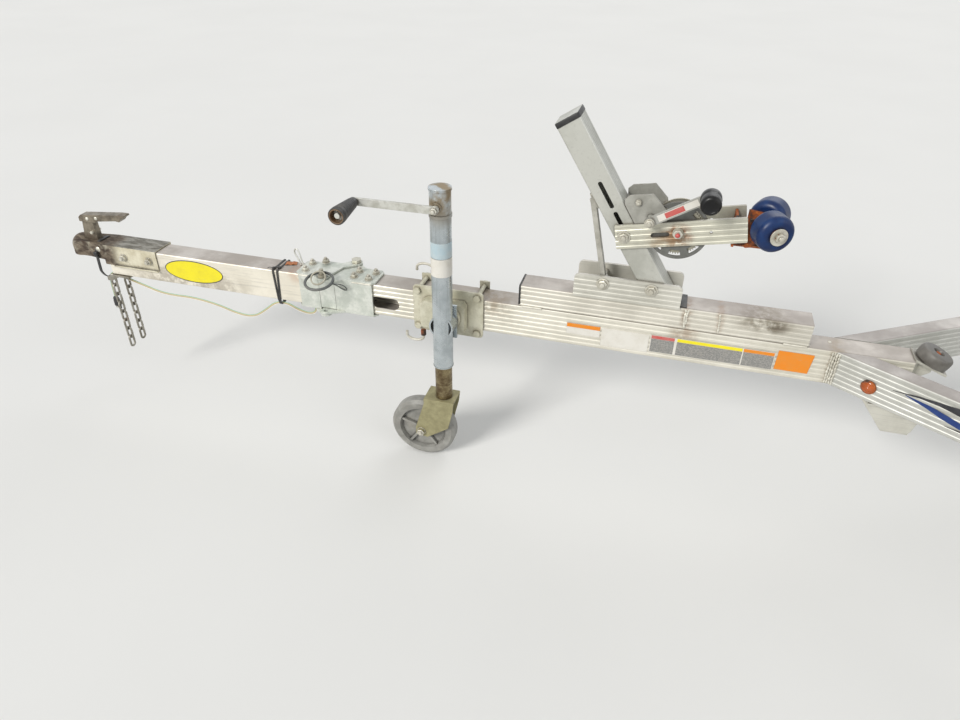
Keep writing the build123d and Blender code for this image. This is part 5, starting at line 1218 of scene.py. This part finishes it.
def add_winch_details():
    hardware = Solid()
    nut(hardware, at(1.784, -0.0421, 0.340), -ASIDE, 0.013, 0.006, 0.008, 0.003, turn=0.1)
    for side in SIDES:
        nut(hardware, at(DRUM_X, side * 0.0551, DRUM_Z), ASIDE * side, 0.021, 0.009, stub=0.003, turn=0.4)
        out = Vector((math.sin(ROLLER_YAW), side * math.cos(ROLLER_YAW), 0))
        nut(hardware, roller_middle(side) + out * 0.0355, out, 0.021, 0.010, 0.0215, 0.004, 0.0026, 0.7)
        for x, z in ARM_BOLTS:
            nut(hardware, at(x, side * 0.0461, z), ASIDE * side, 0.0216, 0.0068, 0.0168, 0.004, 0.0020, x * 7)
    hardware.piece("winch_nuts", "bolts", "frame")
    cap = Solid()
    dome(cap, at(DRUM_X, -0.0668, DRUM_Z), -ASIDE, 0.0062, 0.006)
    cap.piece("axle_cap", "red", "frame")
    pivot = Solid()
    nut(pivot, at(CRANK_X, -0.0858, CRANK_Z), -ASIDE, 0.019, 0.005, 0.0125, 0.004)
    pivot.piece("winch_crank_nut", "bolts", "winch_handle")
    knob = Solid()
    end = at(CRANK_X + CRANK_ARM * math.cos(CRANK_TURN), -0.080, CRANK_Z + CRANK_ARM * math.sin(CRANK_TURN))
    knob.turned([(0.012, 0.001), (0.0222, 0.0), (0.0246, -0.004), (0.0249, -0.019), (0.0234, -0.0225),
                 (0.0233, -0.0300), (0.0240, -0.0330), (0.0242, -0.050), (0.0228, -0.0562), (0.0190, -0.0594),
                 (0.0165, -0.0602), (0.0155, -0.0594), (0.004, -0.0592)], end, ASIDE, 36)
    knob.piece("winch_knob", "gloss_black", "winch_handle", smooth=40)
    strap = Solid()
    rings = []
    for k in range(97):
        a = 2 * math.pi * k / 96
        inner = 0.0466 + 0.0012 * k / 96 + 0.0002 * math.sin(9 * a)
        outer = inner + 0.0012
        rings.append([at(DRUM_X + r * math.cos(a), y, DRUM_Z + r * math.sin(a)) for r, y in
                      ((inner, -0.0232), (outer, -0.0225), (outer, 0.0225), (inner, 0.0232),
                       (0.040, 0.0232), (0.040, -0.0232))])
    strap.loft(rings)
    strap.piece("winch_strap", "strap", "drum")
    cap = Solid()
    axis = Vector((-math.sin(POST_LEAN), 0, math.cos(POST_LEAN)))
    across = Vector((math.cos(POST_LEAN), 0, math.sin(POST_LEAN)))
    top = at(POST_X, 0, POST_Z) + axis * (POST_LENGTH + POST_FOOT_CUT / math.cos(POST_LEAN) + 0.003)
    sections = ((0.0765, 0.0638, 0.014), (0.0785, 0.0658, 0.0135), (0.0788, 0.0660, 0.003),
                (0.0765, 0.0640, 0.0002), (0.066, 0.053, 0.0))
    cap.stack(top, ASIDE, across, [(down, rounded(width, depth, 0.0055)) for width, depth, down in sections])
    cap.piece("post_cap", "black", "frame")


# Wheels

RIM_R, CROWN_R = 0.1527, 0.2597
WALL = [(RIM_R, -0.048), (RIM_R + 0.005, -0.0505), (RIM_R + 0.012, -0.0508), (0.176, -0.0572),
        (0.1775, -0.0586), (0.180, -0.0586), (0.1815, -0.0579), (0.205, -0.0606), (0.2065, -0.0609),
        (0.209, -0.0609), (0.2105, -0.0604), (0.228, -0.0588), (0.238, -0.0552), (0.2405, -0.0555),
        (0.248, -0.0518), (0.2545, -0.0462)]
TREAD_HALF = 0.044
GROOVES = (-0.0285, -0.0095, 0.0095, 0.0285)
BLOCKS, STEPS_PER_BLOCK = 56, 6


def add_tyre(name, body, side, node):
    """Trailer tyre with four grooves, tread blocks and ribs on its sidewall, turned about the axle."""
    tread = [(-TREAD_HALF, 0)]
    for y in GROOVES:
        tread += [(y - 0.0026, 0), (y - 0.0020, -0.0055), (y + 0.0020, -0.0055), (y + 0.0026, 0)]
    tread.append((TREAD_HALF, 0))
    profile = WALL + [(CROWN_R - 0.0045 * (abs(y) / TREAD_HALF) ** 2.2 + drop, y) for y, drop in tread]
    profile += [(r, -y) for r, y in reversed(WALL)]
    profile += [(RIM_R - 0.0001, 0.03), (RIM_R - 0.0001, -0.03)]
    middle = at(AXLE_X, side * WHEEL_Y, WHEEL_Z)
    rings = []
    for k, a in enumerate(turns(BLOCKS * STEPS_PER_BLOCK)):
        ring = []
        for r, y in profile:
            band = 0 if abs(y) < GROOVES[2] else (1 if abs(y) < GROOVES[3] else 2)
            phase = (k + (3 if (band + (y > 0)) % 2 else 0)) % STEPS_PER_BLOCK
            on_top = r > CROWN_R - 0.0048 and abs(y) < TREAD_HALF + 0.0005
            lug = 0.0235 < abs(y) or band == 1
            drop = 0.0038 if on_top and phase == 0 and lug else 0.0
            if TREAD_HALF + 0.0005 < abs(y) and r > 0.244 and k % STEPS_PER_BLOCK in (0, 1):
                drop = 0.0018
            ring.append(middle + Vector(((r - drop) * math.cos(a), y, (r - drop) * math.sin(a))))
        rings.append(ring)
    tyre = Solid()
    tyre.loft(rings, looped=True)
    tyre.piece(name, "tyre", body, (node,), smooth=32)


def add_wheel_details(prefix, body, side):
    centre = at(AXLE_X, side * WHEEL_Y, WHEEL_Z)
    hardware = Solid()
    for k in range(STUDS):
        a = math.radians(36 + 360 / STUDS * k)
        place = centre + Vector((STUD_CIRCLE * math.sin(a), side * 0.0145, STUD_CIRCLE * math.cos(a)))
        nut(hardware, place, ASIDE * side, 0.019, 0.014, 0.0125, turn=k)
        dome(hardware, place + ASIDE * side * 0.0155, ASIDE * side, 0.0085, 0.004)
    hardware.piece(prefix + "_lug_nuts", "bolts", body)
    cap = Solid()
    cap.turned([(0.0262, 0.0600), (0.0262, 0.0632), (0.0235, 0.0652), (0.0115, 0.0664), (0.0098, 0.0668),
                (0.002, 0.0668)], centre, ASIDE * side, 32)
    cap.piece(prefix + "_bearing_cap", "black", body)
    valve = Solid()
    stem = [(0.0062, 0.0), (0.0058, 0.006), (0.0042, 0.012), (0.0042, 0.022), (0.0047, 0.0225),
            (0.0047, 0.031), (0.0038, 0.032)]
    valve.turned(stem, centre + Vector((0.118, side * 0.030, 0.0)), (-0.25, side, 0), 14)
    valve.piece(prefix + "_valve", "black", body)


# Back of the trailer

def add_bunk(name, node, side):
    """Carpet wrapped round the bunk's board, with the staples underneath."""
    low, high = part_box(node)
    length = high.x - low.x
    middle = Vector((low.x, side * BUNK_Y, (low.z + high.z) / 2))
    across = Vector((0, math.cos(BUNK_TILT), side * math.sin(BUNK_TILT)))
    up = Vector((0, -side * math.sin(BUNK_TILT), math.cos(BUNK_TILT)))
    outline = rounded(BUNK_W - 0.002, BUNK_T - 0.002, 0.009, 5)
    dense = []
    for (u, v), (next_u, next_v) in zip(outline, outline[1:] + outline[:1]):
        parts = max(1, int(math.hypot(next_u - u, next_v - v) / 0.006))
        dense += [(u + (next_u - u) * s / parts, v + (next_v - v) * s / parts) for s in range(parts)]
    steps = 220
    rings = []
    for i in range(steps + 1):
        share = i / steps
        x = low.x + 0.0015 + (length - 0.003) * share
        end = min(share, 1 - share) * length
        ease = 1 - 0.10 * max(0.0, 1 - end / 0.008) ** 2
        ring = []
        for u, v in dense:
            bump = noise.noise(Vector((x * 55, u * 190, v * 190))) * 0.0005
            bump += noise.noise(Vector((x * 9, u * 30, v * 30 + 5))) * 0.0006
            ring.append(Vector((x, middle.y, middle.z)) + (across * u + up * v) * (ease + bump / 0.03))
        rings.append(ring)
    carpet = Solid()
    carpet.loft(rings)
    staple = rounded(0.011, 0.0016, 0.0006, 2)
    for k in range(STAPLES):
        under = middle + ALONG * (0.05 + (length - 0.1) * k / (STAPLES - 1)) - up * (BUNK_T / 2 + 0.0002)
        for row in (-0.012, 0.014):
            carpet.plate(staple, under + across * row, ALONG, -across, 0.0008, 0.0, 1)
    carpet.piece(name, "carpet bolts", "frame", (node,), smooth=60)


def add_hull_pad():
    """Rubber pad with rounded rims behind the tongue's end, and the bolt in its recess."""
    pad = Solid()
    profile = [(0.004, -0.0170), (0.0340, -0.0170), (0.0385, -0.0155), (0.0412, -0.0120), (0.0420, -0.0060),
               (0.0420, 0.0060), (0.0412, 0.0120), (0.0385, 0.0155), (0.0340, 0.0170), (0.0150, 0.0168),
               (0.0130, 0.0100), (0.004, 0.0100)]
    centre = at(PAD_X, 0, PAD_Z)
    axis = Vector((math.sin(PAD_TILT), 0, math.cos(PAD_TILT)))
    pad.turned(profile, centre, axis, 40)
    nut(pad, centre + axis * 0.0100, axis, 0.013, 0.005, paint=1)
    pad.piece("hull_pad_rubber", "pad rusty", "frame", ("hull_pad",), smooth=50)


def add_riser_trim():
    """Plastic cap on the riser's front end, and a black strip on the riser behind the post's base plates."""
    trim = Solid()
    levels = [(x, rounded(0.0775 - 2 * less, 0.0622 - 2 * less, 0.0052))
              for x, less in ((1.4916, 0.0016), (1.4922, 0.0), (1.4970, 0.0))]
    trim.stack(at(0, 0, 0.0339), ASIDE, UP, levels)
    trim.plate(rounded(0.0165, 0.0740, 0.002, 3), at(1.9365, 0, 0.0636), ALONG, ASIDE, 0.0036, 0.0008)
    trim.piece("riser_trim", "black", "frame")


def add_tail_light(side, name):
    """Lamp with a ribbed red lens, a clear strip underneath and its bracket plate."""
    lamp = Solid()
    tall = LAMP_Z[1] - LAMP_Z[0]
    centre = at(LAMP_X, side * (RAIL_MID_Y + 0.008), sum(LAMP_Z) / 2)
    housing = ((0.0045, 0.94), (0.007, 1.0), (0.020, 1.0), (0.021, 0.975))
    lens = ((0.0212, 0.955), (0.034, 0.955), (0.0385, 0.93), (0.0405, 0.90))
    for levels, radius, paint in ((housing, 0.011, 0), (lens, 0.010, 1)):
        outline = rounded(LAMP_W, tall, radius)
        lamp.stack(centre, ASIDE, UP, [(level, scaled(outline, size)) for level, size in levels], paint)
    rows = 14
    rib = rounded(LAMP_W * 0.40, 0.0032, 0.0008, 2)
    for k in range(rows):
        z = (k - (rows - 1) / 2) * (tall * 0.80 / rows)
        for part in (-0.5, 0.5):
            lamp.plate(rib, centre + Vector((0.0402, part * LAMP_W * 0.43, z)), ASIDE, UP, 0.0014, 0.0005, 1)
    strip = rounded(0.030, 0.007, 0.002, 3)
    lamp.plate(strip, centre + Vector((0.010, 0, -tall / 2 + 0.0008)), ASIDE, ALONG, 0.0016, 0.0005, 2)
    back = [(-0.030, -0.030), (0.016, -0.030), (0.016, 0.030), (-0.030, 0.030)]
    lamp.plate(back, centre + ALONG * 0.0001, ASIDE, UP, 0.005, 0.0008, 0)
    replaced = ("tail_lights",) if side < 0 else ()
    lamp.piece("tail_light_" + name, "black red_lens clear_lens", "frame", replaced)


def add_side_marker(side, name):
    """Round amber lamp with a stepped lens in a dark rim, on the rail's outer face."""
    marker = Solid()
    out = Vector((-math.sin(RAIL_SPREAD), side * math.cos(RAIL_SPREAD), 0))
    place = at(MARKER_X, side * (TONGUE_HALF + (MARKER_X - MITRE_X) * math.tan(RAIL_SPREAD)), MARKER_Z)
    marker.turned([(0.019, 0.0), (0.019, 0.003), (0.0180, 0.0050), (0.0150, 0.0058)], place, out, 36, 0)
    lens = [(0.0148, 0.002), (0.0148, 0.0060)]
    for k in range(5):
        r = 0.0138 - k * 0.0025
        lens += [(r, 0.0066 + k * 0.0007), (r - 0.0012, 0.0060 + k * 0.0008)]
    marker.turned(lens + [(0.0012, 0.0104), (0.0004, 0.0106)], place, out, 36, 1)
    replaced = ("side_markers",) if side < 0 else ()
    marker.piece("side_marker_" + name, "rusty amber_lens", "frame", replaced)


def add_back_hardware():
    """Bolts of the fenders, the axle's hangers and the bunk brackets."""
    bolts = Solid()
    for side in SIDES:
        for x in (-0.19, 0.19):
            for z in (-0.040, -0.062):
                place = at(AXLE_X + x, side * FENDER_FACE_Y, z)
                nut(bolts, place, ASIDE * side, *BRACKET_NUT, 0.004, turn=z * 40)
        beam_x = AXLE_X - math.sqrt(ARM_LENGTH ** 2 - ARM_DROP ** 2)
        for x in (-0.070, 0.070):
            for y in (-0.014, 0.014):
                dome(bolts, at(beam_x + x, side * (RAIL_MID_Y + y), -0.1077), -UP, 0.008, 0.0055)
    for side in SIDES:
        for x in (3.3454, 4.0754):
            for z in (-0.020, -0.052):
                nut(bolts, at(x - 0.0235, side * BUNK_Y, z), ALONG, *BRACKET_NUT, 0.005, turn=x)
    bolts.piece("back_bolts", "bolts", "frame")


def main():
    add_camera()
    make_looks()
    add_harness()
    dress_cad()
    add_stage()
    add_lights()
    add_front_details()
    add_ties()
    add_chains()
    add_hinge_details()
    add_jack_details()
    add_caster_details()
    add_labels()
    add_stripes()
    add_welds()
    add_hull_pad()
    add_riser_trim()
    add_winch_details()
    for side, name in zip(SIDES, ("left", "right")):
        add_tyre("tyre_tread_" + name, "wheel_" + name, side, "tyre_" + name)
        add_wheel_details("wheel_" + name, "wheel_" + name, side)
        add_bunk("bunk_carpet_" + name, "bunk_" + name, side)
    for side, name in zip(SIDES, ("left", "right")):
        add_tail_light(side, name)
        add_side_marker(side, name)
    add_back_hardware()


main()
bpy.context.scene.view_settings.view_transform = "Standard"
